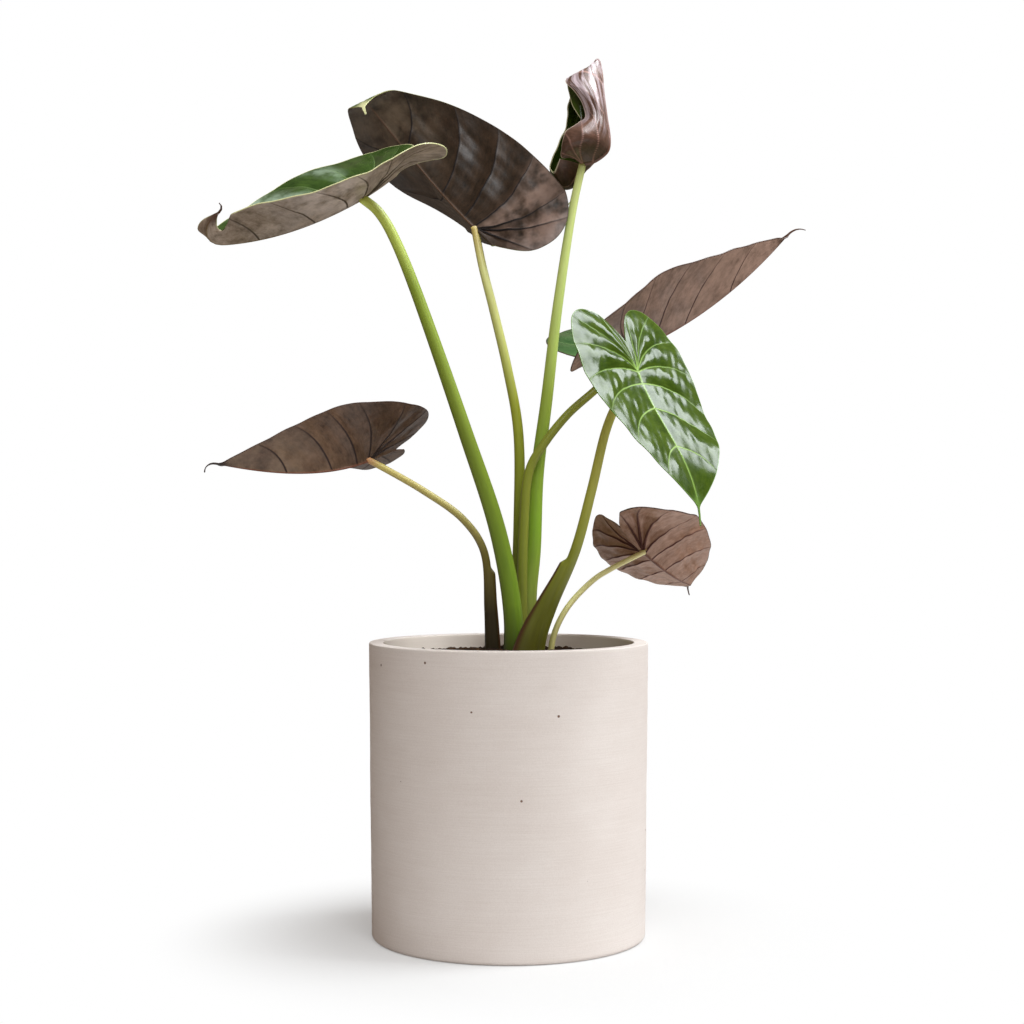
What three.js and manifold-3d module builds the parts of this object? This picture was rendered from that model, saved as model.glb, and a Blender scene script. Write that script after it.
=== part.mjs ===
// A hardy elephant ear growing in a cylindrical planter.
// Millimetres, +Z up. The origin is on the floor, under the middle of the pot.

import * as THREE from "three";
import { mergeVertices } from "three/addons/utils/BufferGeometryUtils.js";
import Module from "manifold-3d";

const wasm = await Module();
wasm.setup();

// The pot is a plain cylinder with a slight draft and softly rounded edges.
const POT_HEIGHT = 305;
const POT_TOP_RADIUS = 145;
const POT_FOOT_RADIUS = 142;
const POT_WALL = 15;
const POT_FLOOR = 18;
const POT_FOOT_EDGE = 4;
const POT_RIM_EDGE = 2.5;
const POT_SIDES = 48;

// The soil fills the pot to just under the rim and rises a little round the stems.
const SOIL_DROP = 15;
const SOIL_MOUND = 8;
const SOIL_LUMP = 1.6;
const SOIL_RINGS = 6;
const SOIL_SIDES = 32;

// The corm stands in the middle of the root ball, and the stalks grow from its flat top.
const CORM_CENTRE = [10, -2];
const CORM_TOP = 264;
const CORM_HEIGHT = 62;
const CORM_RADIUS = 46;
const CORM_SIDES = 16;

// Touching pieces keep this gap, which hides in the shadow between them.
const FIT_GAP = 0.3;

// Leaves: the blade, the midrib that stands out under it and the quilting between its side veins.
const BLADE_THICKNESS = 1;
const MIDRIB_HEIGHT = 2.2;
const QUILT_HEIGHT = 2;
const YOUNG_QUILTING = 0.25;
const MARGIN_WAVE = 1.2;
// Side veins reach the margin at even steps of it. The first of them fan out from the stalk.
const VEIN_STEP = 0.1;
const FAN_SHARE = 0.42;
const VEIN_CROWDING = 1.15;
const VEIN_BOW = 0.08;
// Rows round the margin, three to a vein, columns from the midrib out, and rows along the tail.
const ROWS = 30;
const COLUMNS = 4;
const TAIL_ROWS = 3;
const TAIL_WIDTH = [0.008, 0.004];
const TIP_FLAT = 0.06;
// The lobes part behind the stalk, at this share of the length, and can droop from there.
const SINUS = -0.2;
const LOBE_REACH = 0.3;
const NOTCH_SHARE = 0.12;
const SPINE_STEPS = 60;
const SPINE_BACK = -0.7;

// Half outline of a flat blade in blade lengths, from the sinus round the lobe to the tip.
// The first value runs along the midrib from the stalk, the second across it.
const HALF_WIDTH = 0.42;
const BLANK = new THREE.CatmullRomCurve3(
  [
    [SINUS, 0], [-0.27, 0.022], [-0.38, 0.07], [-0.47, 0.13], [-0.515, 0.215], [-0.475, 0.3],
    [-0.36, 0.365], [-0.2, 0.405], [0, HALF_WIDTH], [0.2, 0.412], [0.4, 0.37], [0.6, 0.292],
    [0.78, 0.18], [0.9, 0.085], [0.965, 0.028], [1, TAIL_WIDTH[0]],
  ].map(([along, across]) => new THREE.Vector3(along, across, 0)),
  false,
  "catmullrom",
  0.5,
);

// Each blade is that blank, bent along its midrib and cupped across it. Angles are in degrees.
// at: where the stalk meets it. heading, pitch, roll: how it points there.
// arch: bend of the midrib a blade length, at the stalk and at the tip, up as seen from above.
// back: bend of the line behind the stalk. crease: a local bend near the tip.
// fold and curl: how each half leaves the midrib and how much more it turns by its margin,
// at the lobe, a quarter of the way up and at the tip. lobe: its length and how far it droops.
// notch: how much further behind the stalk the lobes part than on the blank.
const LEAVES = [
  {
    name: "leaf_a", at: [-149, -40, 760], length: 205, width: 0.97, notch: 0,
    heading: 192, pitch: -32, roll: -43, arch: [35, 44], sway: 1, twist: 11, back: 27,
    crease: { at: 0.87, lift: 135, turn: 0, spread: 0.13 },
    right: { fold: [-17, 11, -2], curl: [-5, -16, -5], lobe: 0.63, droop: 21 },
    left: { fold: [58, 47, 84], curl: [-17, 15, -20], lobe: 0.63, droop: 73 },
    tail: { length: 0.06, lift: -150, turn: 0 },
  },
  {
    name: "leaf_b", at: [-36, 44, 742], length: 228, width: 1.03, notch: -0.05,
    heading: 136, pitch: 38, roll: 98, arch: [-23, -68], sway: -23, twist: -2, back: -9,
    crease: { at: 0.88, lift: -104, turn: -24, spread: 0.06 },
    right: { fold: [150, 62, -6], curl: [40, 11, 13], lobe: 0.1, droop: 0 },
    left: { fold: [17, 11, 0], curl: [14, 10, 6], lobe: 0.55, droop: -34 },
    tail: { length: 0.06, lift: -40, turn: 0 },
  },
  {
    name: "leaf_d", at: [140, 40, 615], length: 217, width: 1.05, notch: 0,
    heading: 24, pitch: 23, roll: -2, arch: [27, 28], sway: 8, twist: 15, back: 17,
    crease: null,
    right: { fold: [31, 42, 62], curl: [-3, 11, -14], lobe: 0.88, droop: 28 },
    left: { fold: [34, 53, 4], curl: [-13, -61, 30], lobe: 0.64, droop: -4 },
    tail: { length: 0.11, lift: -70, turn: 0 },
  },
  {
    name: "leaf_e", at: [128, -95, 580], length: 162, width: 1.02, notch: 0,
    heading: -41, pitch: -66, roll: 13, arch: [53, -67], sway: 6, twist: -15, back: -14,
    crease: null,
    right: { fold: [1, 4, -7], curl: [0, 0, 0], lobe: 0.84, droop: 0 },
    left: { fold: [-7, 0, 35], curl: [0, 0, 0], lobe: 0.84, droop: 0 },
    tail: { length: 0.12, lift: 20, turn: 25 },
  },
  {
    name: "leaf_f", at: [-145, -12, 493], length: 169, width: 0.95, notch: 0,
    heading: 222, pitch: -19, roll: 33, arch: [49, 23], sway: 2, twist: -2, back: -1,
    crease: null,
    right: { fold: [9, 40, 35], curl: [0, 0, 0], lobe: 0.66, droop: 0 },
    left: { fold: [10, 47, 37], curl: [0, 0, 0], lobe: 0.66, droop: 0 },
    tail: { length: 0.12, lift: -110, turn: 0 },
  },
  {
    name: "leaf_g", at: [145, 58, 396], length: 140, width: 1.17, notch: 0.07,
    heading: 34, pitch: -37, roll: -42, arch: [73, 25], sway: -15, twist: 3, back: 40,
    crease: { at: 0.84, lift: 8, turn: -17, spread: 0.08 },
    right: { fold: [-19, 17, 31], curl: [-14, 13, -10], lobe: 1, droop: 41 },
    left: { fold: [20, 23, 20], curl: [30, 19, 19], lobe: 1.1, droop: -20 },
    tail: { length: 0.15, lift: -70, turn: 0 },
  },
];

// The youngest blade is still half rolled and its tip hangs back inside the roll.
// Rows run from the sinus to the tip: near margin, near belly, midrib, far belly, far margin.
const YOUNG_LEAF = {
  name: "leaf_c",
  rows: [
    [[65, 8, 811], [71, 8, 808], [76, 15, 805], [66, 24, 810], [54, 28, 813]],
    [[55, -6, 809], [66, -8, 810], [83, 13, 806], [66, 46, 786], [48, 33, 800]],
    [[56, -14, 821], [70, -24, 816], [92, 12, 809], [58, 56, 789], [44, 37, 806]],
    [[60, -16, 834], [84, -28, 826], [103, 10, 818], [64, 52, 806], [48, 34, 819]],
    [[74, -14, 843], [92, -20, 838], [105, 8, 831], [70, 44, 826], [56, 30, 836]],
    [[80, -8, 854], [93, -14, 854], [102, 8, 853], [76, 36, 848], [62, 24, 852]],
    [[71, -9, 873], [86, -14, 874], [99, 9, 878], [80, 30, 868], [62, 22, 866]],
    [[60, 0, 887], [79, -6, 892], [97, 12, 903], [83, 26, 889], [66, 20, 879]],
    [[61, 6, 892], [78, 2, 902], [93, 12, 914], [80, 22, 903], [69, 18, 890]],
    [[63, 8, 879], [75, 5, 888], [85, 10, 899], [76, 14, 888], [66, 12, 878]],
    [[67, 5, 864], [76, 3, 867], [85, 6, 870], [78, 9, 866], [72, 8, 863]],
    [[77, 1, 847], [78, 2, 848], [80, 5, 849], [78, 8, 848], [77, 9, 847]],
  ],
};

// Stalks: points from the corm to the blade, radius at both ends, and the open sheath at the
// foot: its direction seen from above, how far it stands out at its top and at the corm, and
// the height where it ends.
const STALKS = [
  {
    name: "stalk_a", radius: [11.5, 5], sides: 12, sheath: null,
    route: [[3, -14, 260], [5, -15, 328], [-10, -18, 416], [-45, -25, 524], [-97, -33, 672],
      [-115, -35, 716], [-126, -37, 737], [-136, -38, 750], [-149, -40, 760]],
  },
  {
    name: "stalk_b", radius: [7.4, 4.2], sides: 8, sheath: null,
    route: [[5, 31, 260], [11, 31, 430], [10, 29, 527], [-1, 30, 590], [-16, 34, 654],
      [-28, 38, 702], [-36, 44, 743]],
  },
  {
    name: "stalk_c", radius: [10.5, 3.9], sides: 10, sheath: null,
    route: [[23, 19, 260], [21, 19, 348], [26, 19, 400], [30, 19, 479], [40, 18, 558],
      [51, 16, 652], [68, 15, 762], [78, 15, 806]],
  },
  {
    name: "stalk_d", radius: [6.4, 3.8], sides: 8, sheath: null,
    route: [[14, 2, 260], [15.5, 3, 416], [22, 0, 484], [35, -1, 508], [61, 3, 541],
      [92, 15, 569], [118, 28, 595], [140, 40, 615]],
  },
  {
    name: "stalk_e", radius: [6.6, 4.2], sides: 12,
    route: [[27, -34, 260], [33, -35, 310], [44, -36, 343], [68, -48, 401], [84, -60, 462],
      [98, -72, 522], [107, -74, 545], [118, -80, 567], [128, -94, 581]],
    sheath: { towards: 190, reach: [5, 30], top: 392 },
  },
  {
    name: "stalk_f", radius: [5, 3.4], sides: 12,
    route: [[-20, 1, 260], [-21, 0, 338], [-26, 0, 400], [-47, -2, 432], [-90, -5, 463],
      [-145, -12, 494]],
    sheath: { towards: -6, reach: [4, 10], top: 383 },
  },
  {
    name: "stalk_g", radius: [3.4, 2.8], sides: 8, sheath: null,
    route: [[43, 0, 260], [46, 1, 307], [60, 6, 338], [89, 24, 368], [107, 34, 379],
      [145, 56, 397]],
  },
];
const STALK_RINGS = 16;
const STALK_TAPER = 0.7;
const SHEATH_EDGE = 8;
const SHEATH_FLARE = 1.5;
const SHEATH_POINT = 6;
// A stalk is made this much too long, and then cut to the underside of its blade.
const STALK_SPARE = 3;

const COLOURS = {
  pot: "#d8cfc8",
  soil: "#2e2520",
  corm: "#6b4a35",
  blade: "#3d5f2c",
  stalk: "#7fa03c",
};

const radians = THREE.MathUtils.degToRad;
const mix = THREE.MathUtils.lerp;
const clamp = THREE.MathUtils.clamp;
const smooth = (x) => THREE.MathUtils.smoothstep(x, 0, 1);

// Indexed geometry with only positions and no collapsed triangles.
function bare(geometry) {
  const plain = geometry.clone();
  plain.deleteAttribute("normal");
  plain.deleteAttribute("uv");
  const merged = mergeVertices(plain, 1e-4);
  const kept = [];
  for (let i = 0; i < merged.index.count; i += 3) {
    const corners = [0, 1, 2].map((k) => merged.index.getX(i + k));
    if (new Set(corners).size === 3) {
      kept.push(...corners);
    }
  }
  merged.setIndex(kept);
  return merged;
}

function solidOf(geometry) {
  const { index, attributes } = bare(geometry);
  const vertProperties = new Float32Array(attributes.position.array);
  const triVerts = new Uint32Array(index.array);
  return new wasm.Manifold(new wasm.Mesh({ numProp: 3, vertProperties, triVerts }));
}

function geometryOf(solid) {
  const { vertProperties, triVerts } = solid.getMesh();
  const geometry = new THREE.BufferGeometry();
  geometry.setAttribute("position", new THREE.BufferAttribute(vertProperties, 3));
  geometry.setIndex(new THREE.BufferAttribute(triVerts, 1));
  geometry.computeVertexNormals();
  return geometry;
}

// The room that a piece takes up when it is moved a gap's width each way.
function roomAround(geometry) {
  const solid = solidOf(geometry);
  const moves = [0, 1, 2].flatMap((axis) => [-FIT_GAP, FIT_GAP].map((gap) => {
    const move = [0, 0, 0];
    move[axis] = gap;
    return move;
  }));
  return wasm.Manifold.union(moves.map((move) => solid.translate(move)));
}

function largestPiece(solid) {
  return solid.decompose().sort((a, b) => b.volume() - a.volume())[0];
}

function meshGeometry(points, triangles) {
  const geometry = new THREE.BufferGeometry().setFromPoints(points);
  geometry.setIndex(triangles);
  geometry.computeVertexNormals();
  return geometry;
}

// Pot, soil and corm are turned about an upright axis.
function turned(profile, sides) {
  const points = profile.map(([radius, height]) => new THREE.Vector2(radius, height));
  return new THREE.LatheGeometry(points, sides).rotateX(Math.PI / 2);
}

function potGeometry() {
  const inner = POT_TOP_RADIUS - POT_WALL;
  const soft = 1 - Math.SQRT1_2;
  const foot = POT_FOOT_EDGE;
  const rim = POT_RIM_EDGE;
  return turned(
    [
      [0, 0],
      [POT_FOOT_RADIUS - foot, 0],
      [POT_FOOT_RADIUS - foot * soft, foot * soft],
      [POT_FOOT_RADIUS, foot],
      [POT_TOP_RADIUS, POT_HEIGHT - rim],
      [POT_TOP_RADIUS - rim * soft, POT_HEIGHT - rim * soft],
      [POT_TOP_RADIUS - rim, POT_HEIGHT],
      [inner + rim, POT_HEIGHT],
      [inner + rim * soft, POT_HEIGHT - rim * soft],
      [inner, POT_HEIGHT - rim],
      [inner, POT_FLOOR],
      [0, POT_FLOOR],
    ],
    POT_SIDES,
  );
}

// Height of the soil's surface: a low mound with lumps that fade out at the wall.
function soilHeight(radius, turn, outer) {
  const mound = SOIL_MOUND * smooth(1 - radius / outer);
  const lump = SOIL_LUMP * Math.sin(5 * turn + radius / 9) * Math.sin(radius / 14 + 2 * turn);
  return POT_HEIGHT - SOIL_DROP + mound + lump * smooth((outer - radius) / 20) * smooth(radius / 20);
}

function soilGeometry() {
  const outer = POT_TOP_RADIUS - POT_WALL - FIT_GAP;
  const bottom = POT_FLOOR + FIT_GAP;
  const level = POT_HEIGHT - SOIL_DROP;
  const profile = [[0, bottom], [outer, bottom]];
  for (let ring = SOIL_RINGS; ring >= 0; ring -= 1) {
    profile.push([outer * ring / SOIL_RINGS, level]);
  }
  const geometry = turned(profile, SOIL_SIDES);
  const position = geometry.attributes.position;
  for (let i = 0; i < position.count; i += 1) {
    const [x, y, z] = [position.getX(i), position.getY(i), position.getZ(i)];
    if (z > bottom + 1) {
      position.setZ(i, soilHeight(Math.hypot(x, y), Math.atan2(y, x), outer));
    }
  }
  return geometry;
}

function cormGeometry(gap) {
  const radius = CORM_RADIUS + gap;
  const bottom = CORM_TOP - CORM_HEIGHT;
  return turned(
    [
      [0, bottom - gap],
      [radius * 0.5, bottom - gap],
      [radius * 0.86, bottom + CORM_HEIGHT * 0.25],
      [radius, bottom + CORM_HEIGHT * 0.65],
      [radius * 0.9, CORM_TOP + gap],
      [0, CORM_TOP + gap],
    ],
    CORM_SIDES,
  ).translate(...CORM_CENTRE, 0);
}

// Everything below the corm's top, for cutting the feet of the stalks level.
function footCutGeometry() {
  const bottom = CORM_TOP - CORM_HEIGHT;
  return turned([[0, bottom], [POT_TOP_RADIUS, bottom], [POT_TOP_RADIUS, CORM_TOP], [0, CORM_TOP]], CORM_SIDES);
}

// The midrib's frames, marched from the stalk forward past the tip and back behind the lobes.
function spineOf(leaf) {
  const heading = radians(leaf.heading);
  const pitch = radians(leaf.pitch);
  const forward = new THREE.Vector3(
    Math.cos(pitch) * Math.cos(heading), Math.cos(pitch) * Math.sin(heading), Math.sin(pitch));
  const level = new THREE.Vector3(
    -Math.sin(pitch) * Math.cos(heading), -Math.sin(pitch) * Math.sin(heading), Math.cos(pitch));
  const up = level.applyAxisAngle(forward, radians(leaf.roll));
  const start = { u: 0, point: new THREE.Vector3(...leaf.at), forward, up };
  const ahead = march(leaf, start, (1 + leaf.tail.length) / SPINE_STEPS);
  const behind = march(leaf, start, SPINE_BACK / SPINE_STEPS);
  return [...behind.reverse(), start, ...ahead];
}

function march(leaf, start, step) {
  const frames = [];
  let { point, forward, up } = start;
  for (let i = 0; i < SPINE_STEPS; i += 1) {
    const side = new THREE.Vector3().crossVectors(forward, up);
    const { lift, turn, twist } = spineTurn(leaf, i * step, step);
    const next = forward.clone().addScaledVector(up, lift).addScaledVector(side, turn).normalize();
    point = point.clone().addScaledVector(forward.clone().add(next).normalize(), step * leaf.length);
    up = up.clone().addScaledVector(next, -up.dot(next)).normalize().applyAxisAngle(next, twist);
    forward = next;
    frames.push({ u: (i + 1) * step, point, forward, up });
  }
  return frames;
}

// How far the spine turns over one step, in radians.
function spineTurn(leaf, u, step) {
  if (step < 0) {
    return { lift: radians(2 * leaf.back) * step, turn: 0, twist: 0 };
  }
  const middle = u + step / 2;
  let lift = mix(leaf.arch[0], leaf.arch[1], smooth(middle)) * step;
  let turn = leaf.sway * step;
  if (leaf.crease) {
    const passed = (x) => smooth((x - leaf.crease.at) / (2 * leaf.crease.spread) + 0.5);
    const share = passed(u + step) - passed(u);
    lift += leaf.crease.lift * share;
    turn += leaf.crease.turn * share;
  }
  if (middle > 1) {
    lift += leaf.tail.lift * step / leaf.tail.length;
    turn += leaf.tail.turn * step / leaf.tail.length;
  }
  return { lift: radians(lift), turn: radians(turn), twist: radians(leaf.twist * step) };
}

function frameAt(spine, u) {
  const after = spine.findIndex((frame) => frame.u > u);
  const last = after < 0 ? spine.length - 1 : Math.max(after, 1);
  const [a, b] = [spine[last - 1], spine[last]];
  const share = clamp((u - a.u) / (b.u - a.u), 0, 1);
  const forward = a.forward.clone().lerp(b.forward, share).normalize();
  const up = a.up.clone().lerp(b.up, share);
  up.addScaledVector(forward, -up.dot(forward)).normalize();
  return { point: a.point.clone().lerp(b.point, share), up, side: forward.clone().cross(up) };
}

// A value given at the lobe, a quarter of the way up the blade and at the tip.
function along([lobe, quarter, tip], u) {
  if (u < 0.25) {
    return mix(lobe, quarter, smooth((u + 0.4) / 0.65));
  }
  return mix(quarter, tip, smooth((u - 0.25) / 0.75));
}

// Where a point of the flat blank comes to lie; sign is 1 for the right half and -1 for the left.
function bladePoint(leaf, spine, sign, u, v) {
  const half = sign > 0 ? leaf.right : leaf.left;
  const { point, up, side } = frameAt(spine, u);
  const fold = radians(along(half.fold, u)) * smooth((1 - u) / TIP_FLAT);
  const bend = radians(along(half.curl, u)) / HALF_WIDTH || 1e-6;
  const across = (Math.sin(fold + bend * v) - Math.sin(fold)) / bend;
  const raise = (Math.cos(fold) - Math.cos(fold + bend * v)) / bend;
  point.addScaledVector(side, sign * across * leaf.length).addScaledVector(up, raise * leaf.length);
  const behind = clamp((SINUS - u) / LOBE_REACH, 0, 1.5);
  if (behind > 0) {
    const hinge = frameAt(spine, SINUS).point;
    point.sub(hinge).applyAxisAngle(side, radians(half.droop) * behind).add(hinge);
  }
  return point;
}

// A point of a half blade: s runs round the margin from the sinus to the tip, past which it is
// the tail, and t from the midrib to the margin. Rows fan out from the stalk and then leave the
// midrib one after another, bowed as the side veins are.
function halfBlade(leaf, spine, sign, s, t) {
  if (s > 1) {
    const u = 1 + (s - 1) * leaf.tail.length;
    return bladePoint(leaf, spine, sign, u, mix(...TAIL_WIDTH, s - 1) * t);
  }
  const half = sign > 0 ? leaf.right : leaf.left;
  const margin = BLANK.getPointAt(s);
  const reach = margin.x < SINUS ? SINUS + (margin.x - SINUS) * half.lobe : margin.x;
  const edge = reach - leaf.notch * smooth(1 - s / NOTCH_SHARE);
  const width = margin.y * leaf.width;
  const root = Math.max(0, (s - FAN_SHARE) / (1 - FAN_SHARE)) ** VEIN_CROWDING;
  const bow = VEIN_BOW * 4 * t * (1 - t) * smooth(s / 0.3) * smooth((1 - s) / 0.1);
  const u = mix(root, edge, t) - bow * width;
  return bladePoint(leaf, spine, sign, u, width * t + bow * (edge - root));
}

function grownSurface(leaf) {
  const spine = spineOf(leaf);
  const marginAt = (row) => (row <= ROWS ? row / ROWS : 1 + (row - ROWS) / TAIL_ROWS);
  return {
    rows: ROWS + TAIL_ROWS,
    quilting: 1,
    marginAt,
    at: (sign, row, t) => halfBlade(leaf, spine, sign, marginAt(row), t),
  };
}

// The rolled blade: curves along the rows, then an arc from the midrib over the belly.
function youngSurface(leaf) {
  const lines = [0, 1, 2, 3, 4].map((column) => {
    const points = leaf.rows.map((row) => new THREE.Vector3(...row[column]));
    return new THREE.CatmullRomCurve3(points, false, "catmullrom", 0.5);
  });
  const rows = 3 * (leaf.rows.length - 1);
  return {
    rows,
    quilting: YOUNG_QUILTING,
    marginAt: (row) => row / rows,
    at: (sign, row, t) => {
      const middle = lines[2].getPoint(row / rows);
      const belly = lines[sign > 0 ? 1 : 3].getPoint(row / rows);
      const margin = lines[sign > 0 ? 0 : 4].getPoint(row / rows);
      const pull = belly.multiplyScalar(2).addScaledVector(middle, -0.5).addScaledVector(margin, -0.5);
      return new THREE.QuadraticBezierCurve3(middle, pull, margin).getPoint(t);
    },
  };
}

// Points and triangles of a blade's middle surface. Points that fall together are shared.
function bladeSheet(surface) {
  const points = [];
  const places = [];
  const known = new Map();
  const triangles = [];
  const pointIndex = (sign, row, column) => {
    const point = surface.at(sign, row, column / COLUMNS);
    const key = point.toArray().map((value) => value.toFixed(3)).join();
    if (!known.has(key)) {
      known.set(key, points.length);
      points.push(point);
      places.push({ s: surface.marginAt(row), t: column / COLUMNS });
    }
    return known.get(key);
  };
  const addTriangle = (a, b, c, sign) => {
    if (a !== b && b !== c && c !== a) {
      triangles.push(...(sign > 0 ? [a, b, c] : [a, c, b]));
    }
  };
  for (const sign of [1, -1]) {
    for (let row = 0; row < surface.rows; row += 1) {
      for (let column = 0; column < COLUMNS; column += 1) {
        const near = pointIndex(sign, row, column);
        const far = pointIndex(sign, row, column + 1);
        const farNext = pointIndex(sign, row + 1, column + 1);
        const nearNext = pointIndex(sign, row + 1, column);
        addTriangle(near, far, farNext, sign);
        addTriangle(near, farNext, nearNext, sign);
      }
    }
  }
  return { points, places, triangles };
}

// Height of the quilting between side veins and of the waves in the margin.
function relief({ s, t }) {
  const swell = QUILT_HEIGHT * Math.abs(Math.sin(Math.PI * s / VEIN_STEP)) * Math.sin(Math.PI * t);
  const wave = MARGIN_WAVE * Math.sin(2 * Math.PI * s / VEIN_STEP) * t ** 3;
  return (swell + wave) * smooth(s / 0.2) * smooth((1 - s) / 0.2);
}

// A blade has the same triangles above and below, joined by a rim along every free edge.
function bladeGeometry(surface) {
  const { points, places, triangles } = bladeSheet(surface);
  const normalsOf = (sheet) =>
    points.map((_, i) => new THREE.Vector3().fromBufferAttribute(sheet.attributes.normal, i));
  const flat = normalsOf(meshGeometry(points, triangles));
  points.forEach((point, i) => point.addScaledVector(flat[i], surface.quilting * relief(places[i])));
  const bent = normalsOf(meshGeometry(points, triangles));
  const above = points.map((point, i) => point.clone().addScaledVector(bent[i], BLADE_THICKNESS / 2));
  const below = points.map((point, i) => {
    const ridge = places[i].t === 0 ? MIDRIB_HEIGHT * (1 - Math.min(places[i].s, 1)) : 0;
    return point.clone().addScaledVector(bent[i], -BLADE_THICKNESS / 2 - ridge);
  });
  const count = points.length;
  const faces = [];
  const directed = new Set();
  for (let i = 0; i < triangles.length; i += 3) {
    const [a, b, c] = triangles.slice(i, i + 3);
    faces.push(a, b, c, a + count, c + count, b + count);
    for (const edge of [[a, b], [b, c], [c, a]]) {
      directed.add(edge.join());
    }
  }
  for (const edge of directed) {
    const [a, b] = edge.split(",").map(Number);
    if (!directed.has([b, a].join())) {
      faces.push(a, a + count, b + count, a, b + count, b);
    }
  }
  return meshGeometry([...above, ...below], faces);
}

// A stalk is a round tapering tube; at its foot the sheath widens it to one side.
function stalkGeometry(stalk, grow, spare) {
  const points = stalk.route.map((point) => new THREE.Vector3(...point));
  const [before, end] = points.slice(-2);
  points.push(end.clone().addScaledVector(end.clone().sub(before).normalize(), spare));
  const route = new THREE.CatmullRomCurve3(points, false, "centripetal");
  const first = radians(stalk.sheath ? stalk.sheath.towards : 0);
  const away = new THREE.Vector3(0, 1, 0);
  const vertices = [];
  for (let ring = 0; ring <= STALK_RINGS; ring += 1) {
    const share = ring / STALK_RINGS;
    const centre = route.getPointAt(share);
    const forward = route.getTangentAt(share);
    const right = new THREE.Vector3().crossVectors(away, forward).normalize();
    const back = new THREE.Vector3().crossVectors(forward, right);
    const radius = mix(...stalk.radius, share ** STALK_TAPER) + grow;
    for (let k = 0; k < stalk.sides; k += 1) {
      const turn = (2 * Math.PI * k) / stalk.sides;
      const reach = radius + sheathReach(stalk, centre.z, turn);
      vertices.push(centre.clone()
        .addScaledVector(right, reach * Math.cos(first + turn))
        .addScaledVector(back, reach * Math.sin(first + turn)));
    }
  }
  const faces = [];
  for (let ring = 0; ring < STALK_RINGS; ring += 1) {
    for (let k = 0; k < stalk.sides; k += 1) {
      const a = ring * stalk.sides + k;
      const b = ring * stalk.sides + ((k + 1) % stalk.sides);
      faces.push(a, b, b + stalk.sides, a, b + stalk.sides, a + stalk.sides);
    }
  }
  const bottom = vertices.push(route.getPointAt(0)) - 1;
  const top = vertices.push(route.getPointAt(1)) - 1;
  const lastRing = STALK_RINGS * stalk.sides;
  for (let k = 0; k < stalk.sides; k += 1) {
    const next = (k + 1) % stalk.sides;
    faces.push(bottom, next, k, top, lastRing + k, lastRing + next);
  }
  return meshGeometry(vertices, faces);
}

// How far the sheath stands out of the stalk, at a turn from its middle.
function sheathReach({ sheath }, height, turn) {
  if (!sheath) {
    return 0;
  }
  const down = clamp((sheath.top - height) / (sheath.top - CORM_TOP), 0, 1);
  const width = Math.max(0, Math.cos(turn)) ** SHEATH_POINT;
  return mix(...sheath.reach, down ** SHEATH_FLARE) * width * smooth((sheath.top - height) / SHEATH_EDGE);
}

function piece(name, geometry, colour, roughness) {
  const material = new THREE.MeshStandardMaterial({ color: colour, roughness, metalness: 0 });
  const mesh = new THREE.Mesh(geometry, material);
  mesh.name = name;
  return mesh;
}

const plant = new THREE.Group();

const surfaces = new Map(LEAVES.map((leaf) => [leaf.name, grownSurface(leaf)]));
surfaces.set(YOUNG_LEAF.name, youngSurface(YOUNG_LEAF));
const clearances = [solidOf(footCutGeometry())];
for (const [name, surface] of surfaces) {
  const blade = bladeGeometry(surface);
  plant.add(piece(name, blade, COLOURS.blade, 0.4));
  clearances.push(roomAround(blade));
}

// The top of each stalk is cut to the underside of its blade, and its foot level with the corm.
for (const stalk of STALKS) {
  let solid = solidOf(stalkGeometry(stalk, 0, STALK_SPARE));
  for (const clearance of clearances) {
    solid = solid.subtract(clearance);
  }
  plant.add(piece(stalk.name, geometryOf(largestPiece(solid)), COLOURS.stalk, 0.5));
}

// The soil is packed round the corm and the feet of the stalks.
let soil = solidOf(soilGeometry()).subtract(solidOf(cormGeometry(FIT_GAP)));
for (const stalk of STALKS) {
  soil = soil.subtract(solidOf(stalkGeometry(stalk, FIT_GAP, 0)));
}
plant.add(piece("pot", potGeometry(), COLOURS.pot, 0.85));
plant.add(piece("soil", geometryOf(largestPiece(soil)), COLOURS.soil, 0.95));
plant.add(piece("corm", cormGeometry(-FIT_GAP), COLOURS.corm, 0.8));

export default plant;
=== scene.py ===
# The looks of a hardy elephant ear in its planter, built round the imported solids.
# Blades, stalks, pot and soil are made in the part's millimetres and turned into metres as meshes.

import math

import bpy
import numpy as np
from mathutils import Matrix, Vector
from mathutils.bvhtree import BVHTree


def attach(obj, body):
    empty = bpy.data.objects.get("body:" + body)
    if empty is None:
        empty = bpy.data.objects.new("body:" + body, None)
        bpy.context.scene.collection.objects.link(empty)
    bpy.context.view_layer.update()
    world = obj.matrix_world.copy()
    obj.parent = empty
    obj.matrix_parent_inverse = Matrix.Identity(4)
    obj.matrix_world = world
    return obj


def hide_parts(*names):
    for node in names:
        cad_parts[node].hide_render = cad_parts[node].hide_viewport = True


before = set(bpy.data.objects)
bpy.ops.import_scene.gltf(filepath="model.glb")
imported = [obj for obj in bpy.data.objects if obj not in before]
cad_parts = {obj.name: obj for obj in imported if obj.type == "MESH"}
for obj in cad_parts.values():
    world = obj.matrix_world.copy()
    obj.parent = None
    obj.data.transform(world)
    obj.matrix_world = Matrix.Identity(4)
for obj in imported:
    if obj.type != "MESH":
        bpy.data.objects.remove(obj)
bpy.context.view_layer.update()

MM = 0.001
RNG = np.random.default_rng(7)

# Camera: level with the middle of the plant, as in the photograph.
CAMERA_PLACE = (0.0036, -2.0, 0.440)
CAMERA_LENS = 67.5
SENSOR_WIDTH = 36.0

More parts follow.
